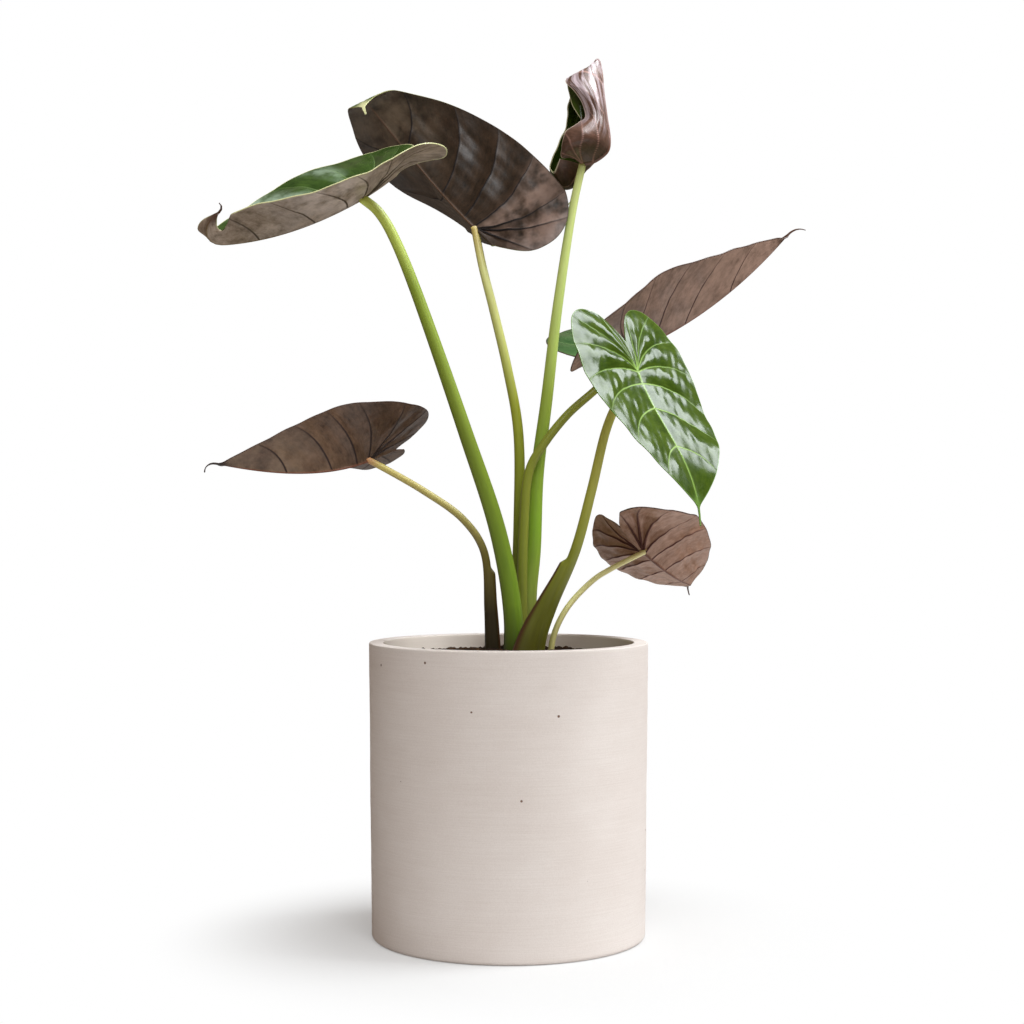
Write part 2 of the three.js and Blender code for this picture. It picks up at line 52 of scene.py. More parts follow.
# Pot and soil, as the solids have them.
POT_HEIGHT = 305
POT_TOP_RADIUS = 145
POT_FOOT_RADIUS = 142
POT_WALL = 15
POT_FLOOR = 18
POT_FOOT_EDGE = 4
POT_RIM_EDGE = 1.4
POT_SIDES = 192
POT_WALL_RINGS = 90
POT_INNER_DEPTH = 40
POT_CAP_RADIUS = 60
POT_UNEVEN = 0.25
# The outer wall is even near the foot and the rim, and becomes uneven over the fade.
POT_EVEN_FOOT = 12
POT_EVEN_RIM = 8
POT_EVEN_FADE = 20
SOIL_DROP = 15
SOIL_MOUND = 8
SOIL_LUMP = 1.6
SOIL_ROUGH = 0.88
SOIL_FADE = 20
SOIL_EDGE = 6
SOIL_RINGS = 84
SOIL_SIDES = 220
SOIL_CRUMBS = 900
CRUMB_MARGIN = 5
CRUMB_SIZES = (0.6, 1.5)
FIT_GAP = 0.3
SOIL_RADIUS = POT_TOP_RADIUS - POT_WALL - FIT_GAP
CORM_TOP = 264

# Blades: thickness, midrib, quilting between the side veins, waves in the margin.
BLADE_THICKNESS = 1.0
MIDRIB_HEIGHT = 2.4
MIDRIB_WIDTH = 1.9
MIDRIB_END_WIDTH = 0.8
VEIN_HEIGHT = 0.35
VEIN_SHARE_ABOVE = 0.3
VEIN_WIDTH = 1.1
VEIN_TAPER = 0.35
VEIN_START = 0.02
QUILT_HEIGHT = 2.6
YOUNG_QUILTING = 0.3
YOUNG_RUGGED = 0.5
YOUNG_FOLDS = 0.7
FOLDS_ACROSS = 4.5
MARGIN_WAVE = 0.7
LUMP_HEIGHT = 1.5
WRINKLE_HEIGHT = 0.5
VEIN_STEP = 0.125
FAN_SHARE = 0.42
# The midrib begins at this share of the margin; below it, where the lobe's veins meet, it is low.
RIB_FROM = 0.9 * FAN_SHARE
RIB_FOOT_SHARE = 0.35
RIB_FOOT_REACH = 0.05
VEIN_CROWDING = 2.3
VEIN_BOW = 0.13
BOW_FROM = 0.12
BOW_FADES = (0.25, 0.1)
# Width of the margin's line, and where the tail's colour begins and over what share it comes.
MARGIN_WIDTH = 0.9
TAIL_FROM = 0.965
TAIL_FADE = 0.03
TAIL_WIDTH = (0.008, 0.004)
TAIL_ROWS = 14
TIP_FLAT = 0.06
SINUS = -0.2
LOBE_REACH = 0.3
NOTCH_SHARE = 0.12
SPINE_STEPS = 60
SPINE_BACK = -0.7
HALF_WIDTH = 0.42
# Rows between two side veins lie closer together beside a vein, and columns at both edges.
VEIN_ROWS = (0, 0.01, 0.022, 0.04, 0.07, 0.11, 0.16, 0.22, 0.29, 0.36, 0.43)
COLUMNS = 44
YOUNG_BLADE_ROWS = 240
# The relief fades at both ends of the margin. Folds begin and end at a place, each over a share.
RELIEF_FADE = 0.2
FOLDS_RISE = (0.28, 0.15)
FOLDS_FALL = (0.64, 0.12)

# Half outline of a flat blade in blade lengths, from the sinus round the lobe to the tip.
BLANK = (
    (SINUS, 0), (-0.27, 0.022), (-0.38, 0.07), (-0.47, 0.13), (-0.515, 0.215), (-0.475, 0.3),
    (-0.36, 0.365), (-0.2, 0.405), (0, HALF_WIDTH), (0.2, 0.412), (0.4, 0.37), (0.6, 0.292),
    (0.78, 0.18), (0.9, 0.085), (0.965, 0.028), (1, TAIL_WIDTH[0]),
)

# The blades, as the solids have them. Angles are in degrees. A tail has a length, lift and turn.
LEAVES = dict(
    leaf_a=dict(
        at=(-149, -40, 760), length=205, width=0.97,
        heading=192, pitch=-32, roll=-43, arch=(35, 44), sway=1, twist=11, back=27,
        crease=dict(at=0.87, lift=135, turn=0, spread=0.13),
        right=dict(fold=(-17, 11, -2), curl=(-5, -16, -5), lobe=0.63, droop=21),
        left=dict(fold=(58, 47, 84), curl=(-17, 15, -20), lobe=0.63, droop=73),
        tail=(0.06, -150, 0),
    ),
    leaf_b=dict(
        at=(-36, 44, 742), length=228, width=1.03, notch=-0.05,
        heading=136, pitch=38, roll=98, arch=(-23, -68), sway=-23, twist=-2, back=-9,
        crease=dict(at=0.88, lift=-104, turn=-24, spread=0.06),
        right=dict(fold=(150, 62, -6), curl=(40, 11, 13), lobe=0.1),
        left=dict(fold=(17, 11, 0), curl=(14, 10, 6), lobe=0.55, droop=-34),
        tail=(0.06, -40, 0),
    ),
    leaf_d=dict(
        at=(140, 40, 615), length=217, width=1.05,
        heading=24, pitch=23, roll=-2, arch=(27, 28), sway=8, twist=15, back=17,
        right=dict(fold=(31, 42, 62), curl=(-3, 11, -14), lobe=0.88, droop=28),
        left=dict(fold=(34, 53, 4), curl=(-13, -61, 30), lobe=0.64, droop=-4),
        tail=(0.11, -70, 0),
    ),
    leaf_e=dict(
        at=(128, -95, 580), length=162, width=1.02,
        heading=-41, pitch=-66, roll=13, arch=(53, -67), sway=6, twist=-15, back=-14,
        right=dict(fold=(1, 4, -7), lobe=0.84),
        left=dict(fold=(-7, 0, 35), lobe=0.84),
        tail=(0.12, 20, 25),
    ),
    leaf_f=dict(
        at=(-145, -12, 493), length=169, width=0.95,
        heading=222, pitch=-19, roll=33, arch=(49, 23), sway=2, twist=-2, back=-1,
        right=dict(fold=(9, 40, 35), lobe=0.66),
        left=dict(fold=(10, 47, 37), lobe=0.66),
        tail=(0.12, -110, 0),
    ),
    leaf_g=dict(
        at=(145, 58, 396), length=140, width=1.17, notch=0.07,
        heading=34, pitch=-37, roll=-42, arch=(73, 25), sway=-15, twist=3, back=40,
        crease=dict(at=0.84, lift=8, turn=-17, spread=0.08),
        right=dict(fold=(-19, 17, 31), curl=(-14, 13, -10), lobe=1, droop=41),
        left=dict(fold=(20, 23, 20), curl=(30, 19, 19), lobe=1.1, droop=-20),
        tail=(0.15, -70, 0),
    ),
)

# The rolled blade's rows: near margin, near belly, midrib, far belly, far margin.
YOUNG_ROWS = (
    ((65, 8, 811), (71, 8, 808), (76, 15, 805), (66, 24, 810), (54, 28, 813)),
    ((55, -6, 809), (66, -8, 810), (83, 13, 806), (66, 46, 786), (48, 33, 800)),
    ((56, -14, 821), (70, -24, 816), (92, 12, 809), (58, 56, 789), (44, 37, 806)),
    ((60, -16, 834), (84, -28, 826), (103, 10, 818), (64, 52, 806), (48, 34, 819)),
    ((74, -14, 843), (92, -20, 838), (105, 8, 831), (70, 44, 826), (56, 30, 836)),
    ((80, -8, 854), (93, -14, 854), (102, 8, 853), (76, 36, 848), (62, 24, 852)),
    ((71, -9, 873), (86, -14, 874), (99, 9, 878), (80, 30, 868), (62, 22, 866)),
    ((60, 0, 887), (79, -6, 892), (97, 12, 903), (83, 26, 889), (66, 20, 879)),
    ((61, 6, 892), (78, 2, 902), (93, 12, 914), (80, 22, 903), (69, 18, 890)),
    ((63, 8, 879), (75, 5, 888), (85, 10, 899), (76, 14, 888), (66, 12, 878)),
    ((67, 5, 864), (76, 3, 867), (85, 6, 870), (78, 9, 866), (72, 8, 863)),
    ((77, 1, 847), (78, 2, 848), (80, 5, 849), (78, 8, 848), (77, 9, 847)),
)

# Stalks: route, radius at both ends, and the sheath at the foot where there is one.
STALKS = dict(
    stalk_a=dict(
        radius=(11.5, 5),
        route=((3, -14, 260), (5, -15, 328), (-10, -18, 416), (-45, -25, 524), (-97, -33, 672),
               (-115, -35, 716), (-126, -37, 737), (-136, -38, 750), (-149, -40, 760)),
    ),
    stalk_b=dict(
        radius=(7.4, 4.2),
        route=((5, 31, 260), (11, 31, 430), (10, 29, 527), (-1, 30, 590), (-16, 34, 654),
               (-28, 38, 702), (-36, 44, 743)),
    ),
    stalk_c=dict(
        radius=(10.5, 3.9),
        route=((23, 19, 260), (21, 19, 348), (26, 19, 400), (30, 19, 479), (40, 18, 558),
               (51, 16, 652), (68, 15, 762), (78, 15, 806)),
    ),
    stalk_d=dict(
        radius=(6.4, 3.8),
        route=((14, 2, 260), (15.5, 3, 416), (22, 0, 484), (35, -1, 508), (61, 3, 541),
               (92, 15, 569), (118, 28, 595), (140, 40, 615)),
    ),
    stalk_e=dict(
        radius=(6.6, 4.2), sheath=dict(towards=190, reach=(5, 30), top=392),
        route=((27, -34, 260), (33, -35, 310), (44, -36, 343), (68, -48, 401), (84, -60, 462),
               (98, -72, 522), (107, -74, 545), (118, -80, 567), (128, -94, 581)),
    ),
    stalk_f=dict(
        radius=(5, 3.4), sheath=dict(towards=-6, reach=(4, 10), top=383),
        route=((-20, 1, 260), (-21, 0, 338), (-26, 0, 400), (-47, -2, 432), (-90, -5, 463),
               (-145, -12, 494)),
    ),
    stalk_g=dict(
        radius=(3.4, 2.8),
        route=((43, 0, 260), (46, 1, 307), (60, 6, 338), (89, 24, 368), (107, 34, 379),
               (145, 56, 397)),
    ),
)
# How uneven each grown blade is.
RUGGED = dict(leaf_a=0.8, leaf_b=1.4, leaf_d=0.6, leaf_e=0.9, leaf_f=0.6, leaf_g=1.5)

STALK_RINGS = 130
STALK_SIDES = 40
STALK_TAPER = 0.7
STALK_SPARE = 0.5
# A stalk's last rings are stretched to end inside its blade's underside.
ENDING_RINGS = 3
ENDING_REACH = 3
ENDING_DEPTH = 0.3
ENDING_STRETCH = 1.6
SHEATH_EDGE = 8
SHEATH_FLARE = 1.5
SHEATH_POINT = 6


# Small helpers

def smooth(x):
    x = np.clip(x, 0, 1)
    return x * x * (3 - 2 * x)


def mix(a, b, share):
    return a + (b - a) * share


def unit(vectors):
    return vectors / np.maximum(np.linalg.norm(vectors, axis=-1, keepdims=True), 1e-12)


def turn_about(vectors, axes, angles):
    cos = np.cos(angles)[..., None]
    sin = np.sin(angles)[..., None]
    along_axis = np.sum(vectors * axes, axis=-1, keepdims=True)
    return vectors * cos + np.cross(axes, vectors) * sin + axes * along_axis * (1 - cos)


def srgb(red, green, blue):
    """A colour given as seen on a screen, from 0 to 255, as Blender's linear one."""
    shares = [value / 255 for value in (red, green, blue)]
    linear = [s / 12.92 if s <= 0.04045 else ((s + 0.055) / 1.055) ** 2.4 for s in shares]
    return (*linear, 1.0)


def spline(points, centripetal, steps=64):
    """A smooth curve through points, with steps samples to a span."""
    p = np.array(points, float)
    p = np.vstack([2 * p[0] - p[1], p, 2 * p[-1] - p[-2]])
    share = np.linspace(0, 1, steps, endpoint=False)[:, None]
    spans = []
    for a, b, c, d in zip(p[:-3], p[1:-2], p[2:-1], p[3:]):
        if centripetal:
            before, span, after = (np.linalg.norm(q - r) ** 0.5 for q, r in ((b, a), (c, b), (d, c)))
            start = ((b - a) / before - (c - a) / (before + span) + (c - b) / span) * span
            end = ((c - b) / span - (d - b) / (span + after) + (d - c) / after) * span
        else:
            start = (c - a) / 2
            end = (d - b) / 2
        spans.append(b + start * share + (3 * (c - b) - 2 * start - end) * share ** 2
                     + (2 * (b - c) + start + end) * share ** 3)
    return np.vstack([*spans, p[-2:-1]])


def by_length(curve, shares):
    """Points of a sampled curve at shares of its length."""
    travelled = np.concatenate([[0], np.cumsum(np.linalg.norm(np.diff(curve, axis=0), axis=1))])
    travelled /= travelled[-1]
    return np.stack([np.interp(shares, travelled, curve[:, k]) for k in range(curve.shape[1])], axis=1)


def grid_faces(rows, columns, closed):
    """Quads of a grid of points; a closed grid joins its last column to its first."""
    quads = []
    last = columns if closed else columns - 1
    for row in range(rows - 1):
        for column in range(last):
            following = (column + 1) % columns
            a, b = row * columns + column, row * columns + following
            quads.append((a, b, b + columns, a + columns))
    return np.array(quads)


def tube_faces(rows, sides):
    """Faces of a closed grid of points, with a flat cap at both ends."""
    last = (rows - 1) * sides
    caps = [list(range(sides))[::-1], list(range(last, last + sides))]
    return [*grid_faces(rows, sides, closed=True).tolist(), *caps]


def circle(sides):
    return np.linspace(0, 2 * math.pi, sides, endpoint=False)


def put_in_scene(name, data):
    thing = bpy.data.objects.new(name, data)
    bpy.context.scene.collection.objects.link(thing)
    return thing


def make_mesh(name, points, faces, materials, slots=None, attributes=None, shade_smooth=True):
    """A piece at the world origin. Faces may repeat a corner."""
    clean = []
    kept = []
    for k, face in enumerate(faces):
        corners = [c for i, c in enumerate(face) if c != face[i - 1]]
        if len(set(corners)) == len(corners) >= 3:
            clean.append([int(c) for c in corners])
            kept.append(k)
    mesh = bpy.data.meshes.new(name)
    mesh.from_pydata((np.asarray(points) * MM).tolist(), [], clean)
    for material in materials:
        mesh.materials.append(material)
    if slots is not None:
        mesh.polygons.foreach_set("material_index", np.asarray(slots)[kept].astype(np.int32))
    for key, values in (attributes or {}).items():
        layer = mesh.attributes.new(key, "FLOAT", "POINT")
        layer.data.foreach_set("value", np.asarray(values, np.float32))
    mesh.polygons.foreach_set("use_smooth", [shade_smooth] * len(clean))
    mesh.update()
    return put_in_scene(name, mesh)


# Blades

def along(values, u):
    """A value given at the lobe, a quarter of the way up the blade and at the tip."""
    lobe, quarter, tip = values
    low = mix(lobe, quarter, smooth((u + 0.4) / 0.65))
    high = mix(quarter, tip, smooth((u - 0.25) / 0.75))
    return np.where(u < 0.25, low, high)


def spine_turn(leaf, u, step):
    """How far the midrib lifts, turns and twists over one step, in radians."""
    if step < 0:
        return math.radians(2 * leaf["back"]) * step, 0.0, 0.0
    middle = u + step / 2
    lift = mix(leaf["arch"][0], leaf["arch"][1], smooth(middle)) * step
    turn = leaf["sway"] * step
    crease = leaf.get("crease")
    if crease:
        passed = [smooth((x - crease["at"]) / (2 * crease["spread"]) + 0.5) for x in (u, u + step)]
        lift += crease["lift"] * (passed[1] - passed[0])
        turn += crease["turn"] * (passed[1] - passed[0])
    if middle > 1:
        tail_length, tail_lift, tail_turn = leaf["tail"]
        lift += tail_lift * step / tail_length
        turn += tail_turn * step / tail_length
    return math.radians(lift), math.radians(turn), math.radians(leaf["twist"] * step)


def march(leaf, point, forward, up, step):
    frames = []
    for i in range(SPINE_STEPS):
        side = np.cross(forward, up)
        lift, turn, twist = spine_turn(leaf, i * step, step)
        ahead = unit(forward + up * lift + side * turn)
        point = point + unit(forward + ahead) * step * leaf["length"]
        up = unit(up - ahead * np.dot(up, ahead))
        up = turn_about(up, ahead, np.array(twist))
        forward = ahead
        frames.append((np.array([(i + 1) * step]), point, forward, up))
    return frames


def spine_of(leaf):
    """The midrib's frames from behind the lobes to past the tip: shares, points, forwards, ups."""
    heading, pitch, roll = (math.radians(leaf[key]) for key in ("heading", "pitch", "roll"))
    level = np.array([math.cos(heading), math.sin(heading), 0])
    forward = math.cos(pitch) * level + np.array([0, 0, math.sin(pitch)])
    up = -math.sin(pitch) * level + np.array([0, 0, math.cos(pitch)])
    up = turn_about(up, forward, np.array(roll))
    start = np.array(leaf["at"], float)
    ahead = march(leaf, start, forward, up, (1 + leaf["tail"][0]) / SPINE_STEPS)
    behind = march(leaf, start, forward, up, SPINE_BACK / SPINE_STEPS)
    frames = [*behind[::-1], (np.zeros(1), start, forward, up), *ahead]
    return [np.array(column) for column in zip(*frames)]


def frames_at(spine, u):
    shares, points, forwards, ups = spine
    shares = shares[:, 0]
    last = np.clip(np.searchsorted(shares, u, side="right"), 1, len(shares) - 1)
    share = np.clip((u - shares[last - 1]) / (shares[last] - shares[last - 1]), 0, 1)[..., None]
    forward = unit(mix(forwards[last - 1], forwards[last], share))
    up = mix(ups[last - 1], ups[last], share)
    up = unit(up - forward * np.sum(up * forward, axis=-1, keepdims=True))
    return mix(points[last - 1], points[last], share), np.cross(forward, up), up


def blade_points(leaf, spine, sign, u, v):
    """Where points of the flat blank come to lie; sign is 1 for the right half, -1 for the left."""
    half = leaf["right"] if sign > 0 else leaf["left"]
    point, side, up = frames_at(spine, u)
    fold = np.radians(along(half["fold"], u)) * smooth((1 - u) / TIP_FLAT)
    bend = np.radians(along(half.get("curl", (0, 0, 0)), u)) / HALF_WIDTH
    bend = np.where(np.abs(bend) < 1e-6, 1e-6, bend)
    across = (np.sin(fold + bend * v) - np.sin(fold)) / bend
    rise = (np.cos(fold) - np.cos(fold + bend * v)) / bend
    length = leaf["length"]
    point = point + side * (sign * across * length)[..., None] + up * (rise * length)[..., None]
    behind = np.clip((SINUS - u) / LOBE_REACH, 0, 1.5)
    hinge = frames_at(spine, np.full_like(u, SINUS))[0]
    return turn_about(point - hinge, side, math.radians(half.get("droop", 0)) * behind) + hinge


def half_blade(leaf, spine, sign, s, t):
    """Points of a half blade: s runs round the margin and t from the midrib to the margin."""
    half = leaf["right"] if sign > 0 else leaf["left"]
    blank = by_length(spline(BLANK, False), np.clip(s[:, 0], 0, 1))
    margin_u, margin_v = blank[:, 0:1], blank[:, 1:2]
    reach = np.where(margin_u < SINUS, SINUS + (margin_u - SINUS) * half["lobe"], margin_u)
    edge = reach - leaf.get("notch", 0) * smooth(1 - s / NOTCH_SHARE)
    width = margin_v * leaf["width"]
    root = np.maximum(0, (s - FAN_SHARE) / (1 - FAN_SHARE)) ** VEIN_CROWDING
    bow = VEIN_BOW * 4 * t * (1 - t) * smooth((s - BOW_FROM) / BOW_FADES[0])
    bow = bow * smooth((1 - s) / BOW_FADES[1])
    u = mix(root, edge, t) - bow * width
    v = width * t + bow * (edge - root)
    tail = s > 1
    u = np.where(tail, 1 + (s - 1) * leaf["tail"][0], u)
    v = np.where(tail, mix(TAIL_WIDTH[0], TAIL_WIDTH[1], s - 1) * t, v)
    return blade_points(leaf, spine, sign, u, v), np.abs(v) * leaf["length"]


def blade_rows():
    """Places of the rows along the margin: thick beside every side vein, then along the tail."""
    offsets = np.array(VEIN_ROWS)
    offsets = np.concatenate([offsets, [0.5], 1 - offsets[:0:-1]])
    veins = round(1 / VEIN_STEP)
    rows = np.concatenate([(k + offsets) * VEIN_STEP for k in range(veins)])
    return np.concatenate([rows, np.linspace(1, 2, TAIL_ROWS + 1)])


def blade_columns():
    return (1 - np.cos(np.linspace(0, math.pi, COLUMNS + 1))) / 2


def grown_halves(leaf, rugged):
    spine = spine_of(leaf)
    s, t = np.meshgrid(blade_rows(), blade_columns(), indexing="ij")
    halves = {sign: half_blade(leaf, spine, sign, s, t) for sign in (1, -1)}
    return dict(halves=halves, s=s, t=t, vein=s, quilting=rugged, rugged=rugged, folds=0.0,
                rib_from=RIB_FROM)


def young_halves():
    """The rolled blade: smooth lines along the rows, then an arc from the midrib over the belly."""
    s, t = np.meshgrid(np.linspace(0, 1, YOUNG_BLADE_ROWS), blade_columns(), indexing="ij")
    lines = [spline([row[k] for row in YOUNG_ROWS], False) for k in range(5)]
    place = np.linspace(0, 1, len(lines[0]))
    lines = [np.stack([np.interp(s[:, 0], place, line[:, k]) for k in range(3)], axis=1)[:, None]
             for line in lines]
    halves = {}
    for sign, belly, margin in ((1, lines[1], lines[0]), (-1, lines[3], lines[4])):
        middle = lines[2]
        pull = 2 * belly - (middle + margin) / 2
        share = t[..., None]
        points = middle * (1 - share) ** 2 + 2 * pull * share * (1 - share) + margin * share ** 2
        halves[sign] = (points, np.linalg.norm(points - middle, axis=-1))
    spread = t ** 0.8
    fan = (1 - spread) / (1 - FAN_SHARE)
    vein = np.minimum((s + FAN_SHARE * fan) / (fan + spread), s / np.maximum(spread, 1e-3))
    return dict(halves=halves, s=s, t=t, vein=vein, quilting=YOUNG_QUILTING, rugged=YOUNG_RUGGED,
                folds=YOUNG_FOLDS, rib_from=-1)


def relief(blade, points, s, t, vein):
    """Height of the quilting between side veins, the waves in the margin, folds and slow lumps."""
    x, y, z = points.T
    swell = blade["quilting"] * QUILT_HEIGHT * np.abs(np.sin(math.pi * vein / VEIN_STEP))
    (rise, rise_share), (fall, fall_share) = FOLDS_RISE, FOLDS_FALL
    below_crest = smooth((s - rise) / rise_share) * smooth((fall - s) / fall_share)
    folds = blade["folds"] * np.sin(2 * math.pi * (FOLDS_ACROSS * t + s)) * below_crest
    lumps = np.sin(x / 7 + z / 11) + np.sin(y / 6 - x / 13 + 1) + np.sin(z / 8 + y / 9 + 2)
    lumps = LUMP_HEIGHT * lumps / 3
    lumps = lumps + WRINKLE_HEIGHT * np.sin(x / 2.6 + y / 3.4) * np.sin(z / 3.1 - y / 4.2)
    wave = MARGIN_WAVE * np.sin(2.3 * math.pi * s / VEIN_STEP) * np.sin(9 * s + 1) * t ** 3
    height = (swell + folds + lumps * blade["rugged"]) * np.sin(math.pi * t) + wave
    return height * smooth(s / RELIEF_FADE) * smooth((1 - s) / RELIEF_FADE)


def vertex_normals(points, faces):
    """Normals of a surface of quads, some of which have a repeated corner."""
    a, b, c, d = (points[faces[:, k]] for k in range(4))
    face_normals = np.cross(c - a, d - b)
    normals = np.zeros_like(points)
    for k in range(4):
        np.add.at(normals, faces[:, k], face_normals)
    return unit(normals)


def vein_distance(points, vein):
    """Distance in millimetres from each point to the nearest side vein, for one half."""
    per_vein = np.gradient(points, axis=0) / np.maximum(np.abs(np.gradient(vein, axis=0)), 1e-5)[..., None]
    per_t = unit(np.gradient(points, axis=1))
    square = np.linalg.norm(np.cross(per_vein, per_t), axis=-1)
    nearest = np.clip(np.round(vein / VEIN_STEP), 1, round(1 / VEIN_STEP) - 1) * VEIN_STEP
    return np.abs(vein - nearest) * square


def blade_sheet(blade):
    """Both halves as one surface with shared midrib points, and what each point carries."""
    s, t, vein = blade["s"], blade["t"], blade["vein"]
    rows, columns = s.shape
    grid = grid_faces(rows, columns, closed=False)
    points, faces, carried = [], [], []
    for sign in (1, -1):
        place, off_midrib = blade["halves"][sign]
        start = (0 if sign > 0 else 1) * rows * columns
        faces.append((grid if sign > 0 else grid[:, ::-1]) + start)
        points.append(place.reshape(-1, 3))
        distance = vein_distance(place, vein)
        to_margin = (1 - t) * np.linalg.norm(place[:, -1:] - place[:, :1], axis=-1)
        carried.append(np.stack([s, t, vein, distance, off_midrib, to_margin], -1).reshape(-1, 6))
    points, faces, carried = (np.concatenate(part) for part in (points, faces, carried))
    _, first, inverse = np.unique(np.round(points, 3), axis=0, return_index=True, return_inverse=True)
    return points[first], inverse.reshape(-1)[faces], carried[first]


def blade_piece(name, blade, materials):
    """The finished blade: an upper and a lower face, joined round the margin by a rim."""
    points, faces, carried = blade_sheet(blade)
    s, t, vein, to_vein, to_midrib, to_margin = carried.T
    points = points + vertex_normals(points, faces) * relief(blade, points, s, t, vein)[:, None]
    normals = vertex_normals(points, faces)
    inner = smooth(t / VEIN_START) * np.where(s > 1, 0, 1)
    taper = mix(VEIN_TAPER, 1, np.sqrt(np.maximum(1 - t, 0)))
    ridge = np.exp(-(to_vein / VEIN_WIDTH) ** 2) * taper * inner
    rib = np.exp(-(to_midrib / mix(MIDRIB_WIDTH, MIDRIB_END_WIDTH, np.minimum(s, 1))) ** 2)
    on_midrib = s > blade["rib_from"]
    rib_height = MIDRIB_HEIGHT * rib * (1 - np.minimum(s, 1)) * np.where(on_midrib, 1, RIB_FOOT_SHARE)
    below = BLADE_THICKNESS / 2 + rib_height + VEIN_HEIGHT * ridge
    above = BLADE_THICKNESS / 2 - VEIN_SHARE_ABOVE * VEIN_HEIGHT * ridge
    upper = points + normals * above[:, None]
    lower = points - normals * below[:, None]
    count = len(points)
    rim = rim_faces(faces, count)
    all_faces = [*faces.tolist(), *(faces[:, ::-1] + count).tolist(), *rim]
    slots = np.concatenate([np.zeros(len(faces)), np.ones(len(faces)), np.zeros(len(rim))])
    attributes = dict(
        vein_line=ridge, midrib=rib * np.where(on_midrib, 1, smooth(1 - t / RIB_FOOT_REACH)),
        margin=np.exp(-np.maximum(to_margin, 0) / MARGIN_WIDTH),
        tail=smooth((s - TAIL_FROM) / TAIL_FADE), across=t, along_margin=vein, upward=s,
    )
    attributes = {key: np.tile(values, 2) for key, values in attributes.items()}
    return make_mesh(name, np.vstack([upper, lower]), all_faces, materials, slots, attributes)


def rim_faces(faces, count):
    """Quads from the upper to the lower surface along every free edge."""
    edges = {}
    for face in faces.tolist():
        corners = [c for i, c in enumerate(face) if c != face[i - 1]]
        if len(corners) < 3:
            continue
        for i, b in enumerate(corners):
            edges[corners[i - 1], b] = True
    return [(b, a, a + count, b + count) for a, b in edges if (b, a) not in edges]


# Stalks

def sheath_shares(sheath, heights, turns):
    """How far down the sheath and how near its middle each point of a stalk lies."""
    down = np.clip((sheath["top"] - heights) / (sheath["top"] - CORM_TOP), 0, 1)
    width = np.maximum(0, np.cos(turns)) ** SHEATH_POINT
    return down, width * smooth((sheath["top"] - heights) / SHEATH_EDGE)


def stalk_piece(name, stalk, blade, material):
    route = [*stalk["route"]]
    end, before = np.array(route[-1], float), np.array(route[-2], float)
    route.append(tuple(end + unit(end - before) * STALK_SPARE))
    curve = spline(route, True)
    share = np.linspace(0, 1, STALK_RINGS + 1)
    centre = by_length(curve, share)
    forward = unit(np.gradient(centre, axis=0))
    right = unit(np.cross(np.array([0.0, 1.0, 0.0]), forward))
    back = np.cross(forward, right)
    sheath = stalk.get("sheath")
    first = math.radians(sheath["towards"]) if sheath else 0.0
    turn = circle(STALK_SIDES)[None]
    radius = mix(stalk["radius"][0], stalk["radius"][1], share ** STALK_TAPER)[:, None] + 0 * turn
    wing = 0 * radius
    if sheath:
        down, wing = sheath_shares(sheath, centre[:, 2:3], turn)
        radius = radius + mix(sheath["reach"][0], sheath["reach"][1], down ** SHEATH_FLARE) * wing
    points = (centre[:, None] + right[:, None] * (radius * np.cos(first + turn))[..., None]
              + back[:, None] * (radius * np.sin(first + turn))[..., None])
    points = meet_blade(points, blade)
    points[..., 2] = np.maximum(points[..., 2], CORM_TOP)
    rows = len(share)
    attributes = dict(height=np.repeat(share, STALK_SIDES), wing=wing.reshape(-1),
                      around=np.tile(np.sin(turn[0]), rows))
    faces = tube_faces(rows, STALK_SIDES)
    return make_mesh(name, points.reshape(-1, 3), faces, [material], attributes=attributes)


def meet_blade(points, blade):
    """Ends every line of a stalk on the underside of its blade."""
    mesh = blade.data
    tree = BVHTree.FromPolygons(
        [v.co / MM for v in mesh.vertices], [tuple(p.vertices) for p in mesh.polygons])
    last = len(points) - 1
    start = last - ENDING_RINGS
    for k in range(points.shape[1]):
        origin = Vector(points[start, k])
        direction = Vector(points[last, k]) - origin
        hit = tree.ray_cast(origin, direction.normalized(), direction.length + ENDING_REACH)
        if hit[0] is None:
            continue
        share = min((hit[3] + ENDING_DEPTH) / direction.length, ENDING_STRETCH)
        steps = np.linspace(0, 1, last - start + 1)[:, None]
        points[start:, k] = np.array(origin) + np.array(direction) * share * steps
    return points


# Pot and soil

def arc(centre, radius, start, end, steps):
    angles = np.radians(np.linspace(start, end, steps))
    return [(centre[0] + radius * math.cos(a), centre[1] + radius * math.sin(a)) for a in angles]


def lathe(profile, sides):
    """Points and faces of a profile turned about the z axis, with a flat cap at both ends."""
    profile = np.array(profile)
    turns = circle(sides)
    radius, height = profile[:, 0:1], profile[:, 1:2]
    points = np.stack([radius * np.cos(turns), radius * np.sin(turns), height + 0 * turns], -1)
    return points.reshape(-1, 3), tube_faces(len(profile), sides)


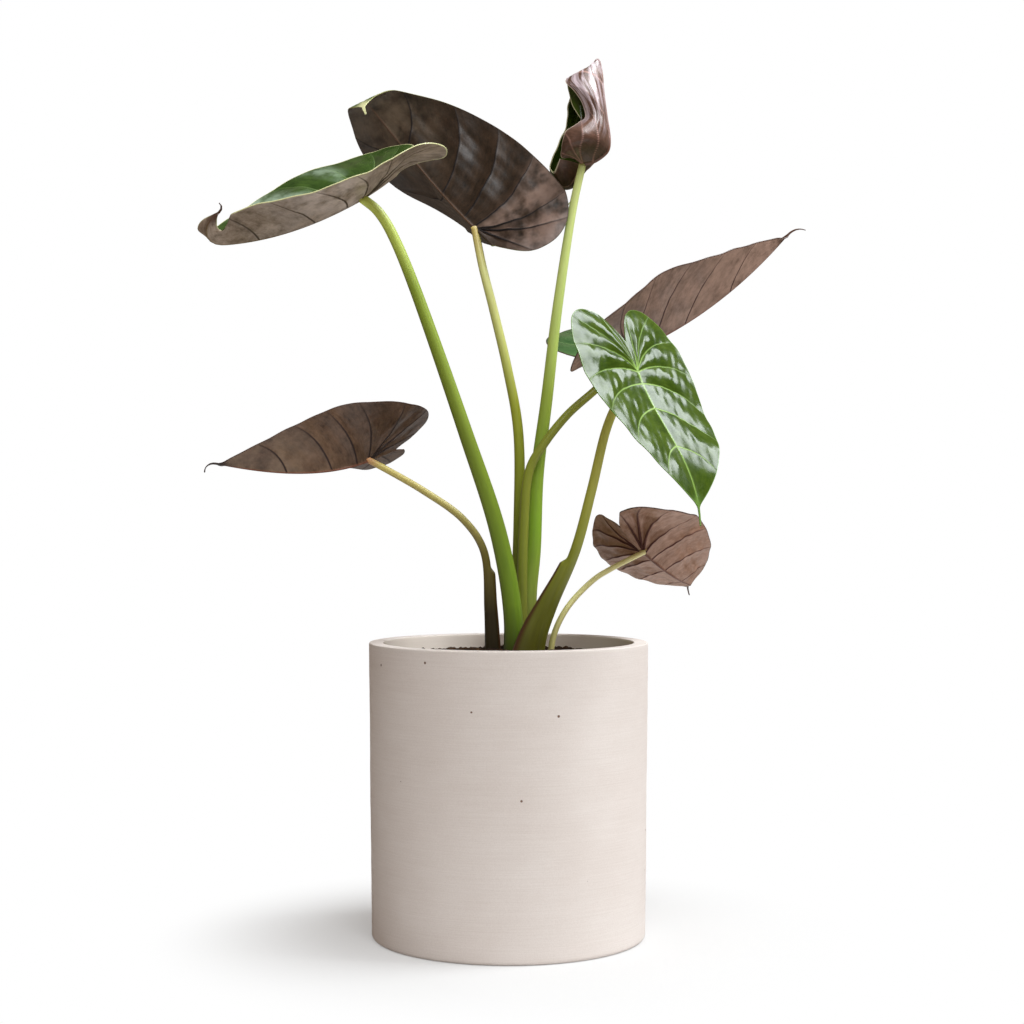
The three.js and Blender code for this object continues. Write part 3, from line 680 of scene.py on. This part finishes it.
def pot_profile():
    inner = POT_TOP_RADIUS - POT_WALL
    foot, rim = POT_FOOT_EDGE, POT_RIM_EDGE
    wall = [(mix(POT_FOOT_RADIUS, POT_TOP_RADIUS, k), mix(foot, POT_HEIGHT - rim, k))
            for k in np.linspace(0, 1, POT_WALL_RINGS)]
    profile = [(POT_CAP_RADIUS, 0), (POT_FOOT_RADIUS - foot, 0)]
    profile += arc((POT_FOOT_RADIUS - foot, foot), foot, -80, -10, 6)
    profile += wall
    profile += arc((POT_TOP_RADIUS - rim, POT_HEIGHT - rim), rim, 15, 90, 6)
    profile += [(mix(inner, POT_TOP_RADIUS, k), POT_HEIGHT) for k in (0.7, 0.5, 0.3)]
    profile += arc((inner + rim, POT_HEIGHT - rim), rim, 90, 180, 7)
    low = POT_HEIGHT - POT_INNER_DEPTH
    profile += [(inner, mix(POT_HEIGHT, low, k)) for k in (0.15, 0.3, 0.5, 0.75, 1)]
    profile += [(inner, POT_FLOOR), (POT_CAP_RADIUS, POT_FLOOR)]
    return profile


def pot_piece(material):
    points, faces = lathe(pot_profile(), POT_SIDES)
    radius = np.hypot(points[:, 0], points[:, 1])
    turn = np.arctan2(points[:, 1], points[:, 0])
    height = points[:, 2]
    wall = (smooth((height - POT_EVEN_FOOT) / POT_EVEN_FADE)
            * smooth((POT_HEIGHT - POT_EVEN_RIM - height) / POT_EVEN_FADE))
    uneven = np.sin(3 * turn + height / 31) + 0.6 * np.sin(7 * turn - height / 17 + 1)
    uneven = uneven + 0.4 * np.sin(height / 5.3)
    outer = radius > POT_TOP_RADIUS - POT_WALL / 2
    scale = 1 + np.where(outer, wall * POT_UNEVEN * uneven / 2, 0) / radius
    points[:, :2] *= scale[:, None]
    # Share of the inner wall, which the stone's material paints lighter and warmer as painted light.
    inside = smooth((POT_TOP_RADIUS - POT_WALL + POT_RIM_EDGE / 2 - radius) / POT_RIM_EDGE)
    return make_mesh("pot_shell", points, faces, [material], attributes=dict(inside=inside))


def soil_height(radius, turn):
    mound = SOIL_MOUND * smooth(1 - radius / SOIL_RADIUS)
    lump = SOIL_LUMP * np.sin(5 * turn + radius / 9) * np.sin(radius / 14 + 2 * turn)
    fade = smooth((SOIL_RADIUS - radius) / SOIL_FADE) * smooth(radius / SOIL_FADE)
    return POT_HEIGHT - SOIL_DROP + mound + lump * fade


def clods(x, y):
    """Uneven ground from a few crossing waves of falling size."""
    total = 0 * x
    for k in range(1, 7):
        reach = 16 / k ** 1.1
        bearing = 2.4 * k
        along_wave = x * math.cos(bearing) + y * math.sin(bearing)
        across_wave = y * math.cos(bearing) - x * math.sin(bearing)
        total = total + np.sin(along_wave / reach * 6 + k) * np.cos(across_wave / reach * 5 - k) / k ** 0.8
    return total


def soil_piece(material):
    rings = np.linspace(SOIL_RADIUS, 2, SOIL_RINGS)
    radius, turn = np.meshgrid(rings, circle(SOIL_SIDES), indexing="ij")
    x, y = radius * np.cos(turn), radius * np.sin(turn)
    rough = SOIL_ROUGH * clods(x, y) * smooth((SOIL_RADIUS - radius) / SOIL_EDGE)
    top = np.stack([x, y, soil_height(radius, turn) + rough], -1)
    base = top[:1].copy()
    base[..., 2] = POT_FLOOR + FIT_GAP
    points = np.concatenate([base, top]).reshape(-1, 3)
    return make_mesh("soil_bed", points, tube_faces(SOIL_RINGS + 1, SOIL_SIDES), [material])


def crumb_piece(material):
    """Loose crumbs of soil and bark, as one mesh of small rough lumps sunk into the bed."""
    base = np.array([(x, y, z) for x in (-1, 1) for y in (-1, 1) for z in (-1, 1)], float)
    ends = [sign * axis for axis in np.eye(3)[::-1] for sign in (1.5, -1.5)]
    lump = np.vstack([base * 0.8, ends])
    hull = convex_faces(lump)
    points, faces = [], []
    for _ in range(SOIL_CRUMBS):
        radius = (SOIL_RADIUS - CRUMB_MARGIN) * math.sqrt(RNG.random())
        turn = RNG.random() * 2 * math.pi
        x, y = radius * math.cos(turn), radius * math.sin(turn)
        size = CRUMB_SIZES[0] + CRUMB_SIZES[1] * RNG.random() ** 3
        stretch = np.array([1 + RNG.random(), 0.7 + 0.5 * RNG.random(), 0.5 + 0.4 * RNG.random()])
        shape = lump * stretch * size * (0.8 + 0.4 * RNG.random((len(lump), 1)))
        spin = RNG.random() * 2 * math.pi
        shape = turn_about(shape, np.array([0.0, 0.0, 1.0]), np.array(spin))
        z = float(soil_height(np.array(radius), np.array(turn))) + 0.2 * size
        faces += [[c + len(lump) * len(points) for c in face] for face in hull]
        points.append(shape + (x, y, z))
    return make_mesh("soil_crumbs", np.vstack(points), faces, [material], shade_smooth=False)


def convex_faces(points):
    """Triangles of the hull of a few points, seen from outside."""
    faces = []
    count = len(points)
    for a in range(count):
        for b in range(a + 1, count):
            for c in range(b + 1, count):
                normal = np.cross(points[b] - points[a], points[c] - points[a])
                side = (points - points[a]) @ normal
                if np.all(side < 1e-9):
                    faces.append((a, b, c))
                elif np.all(side > -1e-9):
                    faces.append((a, c, b))
    return faces


# Materials. Colours of three numbers are as seen on a screen, from 0 to 255.

CREAM = (214, 212, 160)
BROWN_EDGE = (76, 50, 38)
SHEATH_BROWN = (78, 48, 26)
# Size of the pale patches in millimetres.
PATCH_SIZE = 24
# The pot's pinholes: their spacing in millimetres, and where they end and begin in shares of it.
PINHOLE_SPACING = 36
PINHOLE_EDGE = (0.042, 0.03)


class Shader:
    """The node tree of a new material or world, with short ways to add its usual nodes."""

    def __init__(self, name, library=bpy.data.materials):
        self.owner = library.new(name)
        self.owner.use_nodes = True
        self.tree = self.owner.node_tree
        self.tree.nodes.clear()

    def add(self, kind, inputs=None, **settings):
        """A node with its settings, and with its inputs set or joined where they aren't None."""
        node = self.tree.nodes.new(kind)
        for key, value in settings.items():
            setattr(node, key, value)
        for key, value in (inputs or {}).items():
            if value is not None:
                self.put(value, node.inputs[key])
        return node

    def put(self, value, target):
        """Sets a socket to a number, vector or colour, or joins it to another socket."""
        if isinstance(value, bpy.types.NodeSocket):
            self.tree.links.new(value, target)
        elif target.type == "RGBA" and len(value) == 3:
            target.default_value = srgb(*value)
        else:
            target.default_value = value

    def attribute(self, name):
        return self.add("ShaderNodeAttribute", attribute_name=name).outputs["Fac"]

    def place(self, *sizes):
        """Object coordinates in millimetres, divided by one size or by one for each axis."""
        scale = [1 / (MM * size) for size in (sizes * 3 if len(sizes) == 1 else sizes)]
        vector = self.add("ShaderNodeTexCoord").outputs["Object"]
        return self.add("ShaderNodeMapping", {"Vector": vector, "Scale": scale}).outputs["Vector"]

    def stretched(self, **scales):
        """A vector of two attributes, each times its scale."""
        node = self.add("ShaderNodeCombineXYZ")
        for (name, scale), target in zip(scales.items(), node.inputs):
            self.put(self.times(self.attribute(name), scale), target)
        return node.outputs["Vector"]

    def noise(self, vector, detail=3.0, roughness=0.5, distortion=0.0):
        inputs = {"Vector": vector, "Scale": 1.0, "Detail": detail, "Roughness": roughness,
                  "Distortion": distortion}
        return self.add("ShaderNodeTexNoise", inputs).outputs["Fac"]

    def cells(self, vector, feature="F1"):
        """Distance to the nearest of many scattered points."""
        inputs = {"Vector": vector, "Scale": 1.0}
        return self.add("ShaderNodeTexVoronoi", inputs, feature=feature).outputs["Distance"]

    def math(self, operation, a, b=0.0):
        return self.add("ShaderNodeMath", {0: a, 1: b}, operation=operation).outputs["Value"]

    def times(self, a, b):
        return self.math("MULTIPLY", a, b)

    def step(self, value, low, high):
        """Rises smoothly from 0 at low to 1 at high."""
        inputs = {"Value": value, "From Min": low, "From Max": high}
        node = self.add("ShaderNodeMapRange", inputs, interpolation_type="SMOOTHSTEP")
        return node.outputs["Result"]

    def blend(self, share, a, b, mode="MIX"):
        inputs = {"Factor": share, "A": a, "B": b}
        return self.add("ShaderNodeMix", inputs, data_type="RGBA", blend_type=mode).outputs["Result"]

    def ramp(self, share, stops):
        node = self.add("ShaderNodeValToRGB", {"Fac": share})
        elements = node.color_ramp.elements
        while len(elements) < len(stops):
            elements.new(0.5)
        for element, (place, colour) in zip(elements, stops):
            element.position = place
            element.color = srgb(*colour)
        return node.outputs["Color"]

    def bump(self, height, distance, strength=0.5, normal=None):
        inputs = {"Height": height, "Distance": distance * MM, "Strength": strength, "Normal": normal}
        return self.add("ShaderNodeBump", inputs).outputs["Normal"]

    def unless_seen(self, share, seen, other):
        """One surface, of which the camera sees a share as another."""
        camera = self.add("ShaderNodeLightPath").outputs["Is Camera Ray"]
        inputs = {0: self.times(share, camera), 1: other, 2: seen}
        return self.add("ShaderNodeMixShader", inputs).outputs[0]

    def surface(self, colour, roughness, normal=None, specular=0.5):
        inputs = {"Base Color": colour, "Roughness": roughness, "Specular IOR Level": specular,
                  "Normal": normal}
        return self.add("ShaderNodeBsdfPrincipled", inputs).outputs["BSDF"]

    def finish(self, colour, roughness, normal=None, specular=0.5):
        return self.close("Material", self.surface(colour, roughness, normal, specular))

    def close(self, kind, surface):
        """Joins a surface to the output of the material or world."""
        self.add("ShaderNodeOutput" + kind, {"Surface": surface})
        return self.owner


def leaf_bump(shader, share):
    """A net of fine side veins from vein to vein, and a fine grain."""
    puckers = shader.cells(shader.stretched(along_margin=60.0, across=16.0), "SMOOTH_F1")
    normal = shader.bump(puckers, 0.35 * share)
    return shader.bump(shader.noise(shader.place(3)), 0.25 * share, normal=normal)


def leaf_colour(shader, size, line, tail, dark, light, vein, rib, rim, pale_patches_and_sheen):
    """Mottled colour with veins, margin and tail; pale patches, some of them painted highlights, may lie
    over parts of it.
    """
    mottle = shader.noise(shader.place(size), detail=6.0, roughness=0.7)
    grain = shader.noise(shader.stretched(across=6.0, upward=70.0), detail=4.0, roughness=0.7)
    mottle = shader.math("ADD", shader.times(mottle, 0.6), shader.times(grain, 0.4))
    colour = shader.ramp(mottle, [(0.36, dark), (0.64, light)])
    for tint, middle, reach, most in pale_patches_and_sheen:
        away = shader.math("ABSOLUTE", shader.math("SUBTRACT", shader.attribute("upward"), middle))
        patches = shader.step(shader.noise(shader.place(PATCH_SIZE), roughness=0.6), 0.3, 0.65)
        share = shader.times(shader.step(away, reach, 0.0), patches)
        colour = shader.blend(shader.times(share, most), colour, tint)
    colour = shader.blend(shader.step(shader.attribute("vein_line"), *line), colour, vein)
    colour = shader.blend(shader.times(shader.attribute("midrib"), 0.85), colour, rib)
    colour = shader.blend(shader.step(shader.attribute("margin"), 0.3, 0.6), colour, rim)
    return shader.blend(shader.attribute("tail"), colour, tail)


def leaf_roughness(shader, size, low, high, lowest):
    """Patchy gloss that is lost on the veins."""
    rough = shader.step(shader.noise(shader.place(size)), low, high)
    rough = shader.math("ADD", rough, shader.times(shader.attribute("vein_line"), 0.3))
    return shader.math("ADD", rough, lowest)


def upper_material(name, tail, dark, light, vein, rim=BROWN_EDGE, shine=0.3, pale_patches_and_sheen=()):
    """The glossy green upper side, with pale veins and a margin line."""
    shader = Shader(name)
    colour = leaf_colour(shader, 26, (0.3, 1.0), tail, dark, light, vein, vein, rim, pale_patches_and_sheen)
    rough = leaf_roughness(shader, size=14, low=0.3, high=2.2, lowest=0.16)
    return shader.finish(colour, rough, leaf_bump(shader, 0.4), shine)


def lower_material(name, tail, dark, light, vein, rib, rim=BROWN_EDGE, rough=0.36, streaks=None,
                   pale_patches_and_sheen=()):
    """The satin brown underside, with darker veins; streaks is the colour of the painted highlights on a
    young blade's folds.
    """
    shader = Shader(name)
    colour = leaf_colour(shader, 18, (0.1, 0.85), tail, dark, light, vein, rib, rim, pale_patches_and_sheen)
    if streaks:
        # Painted highlights along the folds of the young blade's upper part.
        folds = shader.noise(shader.stretched(across=9.0, upward=4.0), roughness=0.6, distortion=0.8)
        share = shader.step(shader.attribute("upward"), 0.28, 0.5)
        share = shader.times(shader.step(folds, 0.4, 0.75), share)
        colour = shader.blend(share, colour, streaks)
    rough = leaf_roughness(shader, size=11, low=0.2, high=2.6, lowest=rough)
    return shader.finish(colour, rough, leaf_bump(shader, 1.0))


def stalk_material(name, stops):
    """A smooth fleshy stalk that changes colour from foot to blade, with faint long streaks."""
    shader = Shader(name)
    colour = shader.ramp(shader.attribute("height"), stops)
    streaks = shader.noise(shader.stretched(around=5.0, height=9.0), roughness=0.6)
    shades = shader.ramp(streaks, [(0.3, (110, 110, 70)), (0.7, (205, 205, 170))])
    colour = shader.blend(0.3, colour, shades, "SOFT_LIGHT")
    colour = shader.blend(shader.step(shader.attribute("wing"), 0.72, 0.95), colour, SHEATH_BROWN)
    return shader.finish(colour, 0.38, shader.bump(streaks, 0.15))


def pot_material():
    """Pale cast stone, brushed round the pot, with fine grain, clouds and a few pinholes."""
    shader = Shader("pot_stone")
    clouds = shader.noise(shader.place(90, 90, 60), detail=4.0, roughness=0.6)
    brushed = shader.noise(shader.place(60, 60, 1.1), detail=4.0, roughness=0.6)
    grain = shader.noise(shader.place(1.2), detail=2.0, roughness=0.7)
    colour = shader.ramp(clouds, [(0.3, (222, 211, 204)), (0.7, (230, 221, 215))])
    lines = shader.ramp(brushed, [(0.3, (208, 195, 187)), (0.7, (236, 228, 223))])
    colour = shader.blend(0.22, colour, lines)
    speckles = shader.ramp(grain, [(0.35, (180, 168, 158)), (0.65, (245, 240, 235))])
    colour = shader.blend(0.1, colour, speckles)
    # The inside of the wall is painted lighter and warmer: painted light on the inner wall.
    colour = shader.blend(shader.attribute("inside"), colour, (255, 240, 222))
    # The pinholes are painted dark brown: painted shade inside them.
    holes = shader.step(shader.cells(shader.place(PINHOLE_SPACING)), *PINHOLE_EDGE)
    colour = shader.blend(holes, colour, (120, 92, 78))
    normal = shader.bump(brushed, 0.25)
    normal = shader.bump(grain, 0.12, normal=normal)
    normal = shader.bump(shader.math("SUBTRACT", 1.0, holes), 0.4, 0.8, normal)
    return shader.finish(colour, 0.82, normal, specular=0.25)


def soil_material(name, dark, light):
    shader = Shader(name)
    fine = shader.noise(shader.place(3.5), detail=5.0, roughness=0.7)
    colour = shader.ramp(fine, [(0.3, dark), (0.72, light)])
    return shader.finish(colour, 0.95, shader.bump(fine, 1.2, 0.9), specular=0.2)


def corm_material():
    shader = Shader("corm_skin")
    rings = shader.noise(shader.place(30, 30, 4), detail=4.0, roughness=0.6)
    colour = shader.ramp(rings, [(0.3, (70, 46, 32)), (0.7, (126, 92, 64))])
    return shader.finish(colour, 0.85, shader.bump(rings, 1.0, 0.8), specular=0.2)


# A blade's two sides and tail. Shine is the strength of the reflection, rough the lowest roughness.
# A pale patch, on some blades a painted highlight, has a colour, its place on the margin from the lobe to
# the tip, its reach and its share.
BLADE_COLOURS = dict(
    leaf_a=dict(
        upper=dict(dark=(30, 54, 14), light=(56, 82, 28), vein=(96, 118, 66), rim=CREAM, shine=0.5,
                   # Blade a's pale patches on the upper side are painted highlights.
                   pale_patches_and_sheen=[((176, 194, 172), 0.72, 0.1, 0.7), ((160, 180, 156), 0.52, 0.06, 0.5)]),
        lower=dict(dark=(92, 74, 50), light=(186, 166, 148), vein=(62, 46, 20), rib=(112, 92, 50),
                   rim=CREAM, rough=0.34, pale_patches_and_sheen=[((240, 224, 214), 0.6, 0.25, 0.7)]),
    ),
    leaf_b=dict(
        tail=CREAM,
        upper=dict(dark=(44, 78, 26), light=(70, 104, 40), vein=(120, 146, 80), rim=(150, 150, 96)),
        lower=dict(dark=(18, 10, 2), light=(66, 48, 34), vein=(14, 0, 0), rib=(100, 74, 56),
                   rim=(66, 50, 32), rough=0.4,
                   # Blade b's first two pale patches are painted highlights, glints on the lobe and the
                   # right part; the third makes the tip paler.
                   pale_patches_and_sheen=[((186, 156, 142), 0.26, 0.3, 0.52), ((186, 156, 140), 0.45, 0.07, 0.4),
                           ((134, 116, 96), 1, 0.3, 0.55)]),
    ),
    leaf_c=dict(
        upper=dict(dark=(44, 62, 10), light=(70, 90, 20), vein=(110, 130, 60), rim=(196, 190, 150)),
        lower=dict(dark=(62, 42, 30), light=(112, 80, 66), vein=(164, 124, 112), rib=(140, 98, 82),
                   # Blade c's streaks are painted highlights on its folds.
                   rim=(204, 184, 164), rough=0.3, streaks=(212, 194, 200)),
    ),
    leaf_d=dict(
        upper=dict(dark=(50, 82, 44), light=(74, 104, 60), vein=(120, 146, 84)),
        lower=dict(dark=(104, 82, 70), light=(182, 150, 134), vein=(58, 30, 26), rib=(120, 74, 64),
                   pale_patches_and_sheen=[((220, 184, 166), 0.9, 0.4, 0.5)]),
    ),
    leaf_e=dict(
        tail=(96, 126, 56),
        upper=dict(dark=(36, 58, 8), light=(70, 90, 22), vein=(140, 172, 84), rim=(96, 126, 56),
                   shine=0.22),
        lower=dict(dark=(106, 84, 72), light=(146, 120, 104), vein=(64, 34, 28), rib=(120, 74, 64),
                   rim=(120, 140, 80)),
    ),
    leaf_f=dict(
        tail=(44, 28, 20),
        upper=dict(dark=(44, 78, 26), light=(70, 104, 40), vein=(120, 146, 80)),
        lower=dict(dark=(58, 38, 22), light=(112, 86, 68), vein=(34, 12, 4), rib=(120, 70, 50),
                   rough=0.33, pale_patches_and_sheen=[((150, 126, 102), 1, 0.35, 0.6)]),
    ),
    leaf_g=dict(
        upper=dict(dark=(50, 82, 34), light=(76, 106, 48), vein=(120, 146, 84)),
        lower=dict(dark=(134, 94, 68), light=(194, 156, 136), vein=(78, 34, 22), rib=(96, 50, 34)),
    ),
)

# Stalk colours from the foot to the blade.
STALK_COLOURS = dict(
    stalk_a=((0.06, (52, 62, 12)), (0.16, (116, 146, 38)), (0.5, (118, 136, 42)),
             (0.8, (140, 160, 54)), (1, (222, 236, 120))),
    stalk_b=((0.06, (84, 88, 30)), (0.3, (118, 128, 34)), (0.6, (160, 166, 56)),
             (0.9, (222, 222, 150)), (1, (204, 180, 110))),
    stalk_c=((0.06, (132, 124, 70)), (0.3, (134, 172, 50)), (0.55, (152, 172, 70)),
             (0.8, (206, 220, 136)), (1, (214, 224, 150))),
    stalk_d=((0.06, (110, 114, 40)), (0.5, (140, 148, 54)), (1, (138, 140, 50))),
    # Stalk e is painted lighter up its upper part: painted light where its blade shades it.
    stalk_e=((0.06, (72, 66, 14)), (0.25, (112, 116, 30)), (0.42, (142, 148, 52)),
             (0.7, (196, 196, 92)), (1, (228, 234, 122))),
    stalk_f=((0.06, (38, 30, 8)), (0.25, (50, 40, 10)), (0.45, (118, 106, 48)),
             (0.65, (180, 168, 96)), (0.95, (206, 190, 112)), (1, (196, 140, 104))),
    stalk_g=((0.06, (150, 138, 80)), (0.35, (236, 230, 160)), (1, (255, 250, 190))),
)


# The plant and its pot

def dress(piece, node):
    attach(piece, "root")
    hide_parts(node)


def make_blades():
    blades = {}
    for name in sorted(BLADE_COLOURS):
        colours = BLADE_COLOURS[name]
        tail = colours.get("tail", BROWN_EDGE)
        materials = [upper_material(f"{name}_upper", tail, **colours["upper"]),
                     lower_material(f"{name}_lower", tail, **colours["lower"])]
        halves = grown_halves(LEAVES[name], RUGGED[name]) if name in LEAVES else young_halves()
        blades[name] = blade_piece(name.replace("leaf", "blade"), halves, materials)
        dress(blades[name], name)
    return blades


def make_stalks(blades):
    for name, stalk in STALKS.items():
        material = stalk_material(f"{name}_skin", STALK_COLOURS[name])
        blade = blades[name.replace("stalk", "leaf")]
        dress(stalk_piece(name.replace("stalk", "petiole"), stalk, blade, material), name)


def make_pot():
    dress(pot_piece(pot_material()), "pot")
    bed = soil_material("soil_dark", (24, 16, 10), (58, 42, 30))
    chips = soil_material("soil_chips", (34, 22, 14), (92, 66, 44))
    dress(soil_piece(bed), "soil")
    crumbs = crumb_piece(chips)
    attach(crumbs, "root")
    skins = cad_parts["corm"].data.materials
    skins.clear()
    skins.append(corm_material())


# The studio

AIM = Vector((0, 0, 0.5))
# Soft boxes: bearing to the right of the camera's axis, elevation, distance, width and power.
SOFT_BOXES = dict(
    key=dict(bearing=90, elevation=50, distance=2.8, width=1.3, power=94),
    front=dict(bearing=10, elevation=38, distance=2.8, width=1.2, power=40),
    top=dict(bearing=40, elevation=72, distance=2.0, width=0.9, power=20),
)
LIGHT_COLOUR = (0.91, 0.96, 1.0)
AMBIENT_COLOUR = (1.0, 0.78, 0.6, 1)
AMBIENT_STRENGTH = 0.22
# The floor is seen partly as the white background, and wholly from the second distance on.
FLOOR_COLOUR = (0.62, 0.61, 0.6, 1)
FLOOR_HALF = 0.9
FLOOR_ROUGHNESS = 0.9
FLOOR_WHITE = 0.34
FLOOR_FADE = (0.15, 0.38)


def soft_box(name, bearing, elevation, distance, width, power):
    data = bpy.data.lights.new(name, "AREA")
    data.size = width
    data.energy = power
    data.color = LIGHT_COLOUR
    lamp = put_in_scene(name, data)
    turn, rise = math.radians(bearing), math.radians(elevation)
    away = Vector((math.cos(rise) * math.sin(turn), -math.cos(rise) * math.cos(turn), math.sin(rise)))
    lamp.location = AIM + away * distance
    lamp.rotation_euler = away.to_track_quat("Z", "Y").to_euler()


def make_world():
    """White behind everything, and a weak warm light from all sides."""
    shader = Shader("studio_white", bpy.data.worlds)
    light = {"Color": AMBIENT_COLOUR, "Strength": AMBIENT_STRENGTH}
    ambient = shader.add("ShaderNodeBackground", light).outputs[0]
    white = shader.add("ShaderNodeBackground", {"Color": (1, 1, 1, 1)}).outputs[0]
    bpy.context.scene.world = shader.close("World", shader.unless_seen(1.0, white, ambient))


def make_floor():
    """A pale floor that is seen as white away from the pot, so that it has no edge."""
    shader = Shader("floor_white")
    place = shader.add("ShaderNodeTexCoord").outputs["Object"]
    away = shader.add("ShaderNodeVectorMath", {0: place}, operation="LENGTH").outputs["Value"]
    far = shader.times(shader.step(away, *FLOOR_FADE), 1 - FLOOR_WHITE)
    white = shader.math("ADD", far, FLOOR_WHITE)
    glow = shader.add("ShaderNodeEmission").outputs[0]
    matt = shader.surface(FLOOR_COLOUR, FLOOR_ROUGHNESS, specular=0.0)
    material = shader.close("Material", shader.unless_seen(white, glow, matt))
    half = FLOOR_HALF / MM
    corners = np.array([(-half, -half, 0), (half, -half, 0), (half, half, 0), (-half, half, 0)])
    make_mesh("floor", corners, [(0, 1, 2, 3)], [material], shade_smooth=False)


def make_studio():
    view = bpy.context.scene.view_settings
    view.view_transform = "Standard"
    view.look = "None"
    make_world()
    make_floor()
    for name, box in SOFT_BOXES.items():
        soft_box(name, **box)


def make_camera():
    data = bpy.data.cameras.new("camera")
    data.lens = CAMERA_LENS
    data.sensor_width = SENSOR_WIDTH
    data.dof.use_dof = False
    camera = put_in_scene("camera", data)
    camera.location = CAMERA_PLACE
    camera.rotation_euler = (math.pi / 2, 0, 0)
    bpy.context.scene.camera = camera


make_camera()
make_stalks(make_blades())
make_pot()
make_studio()
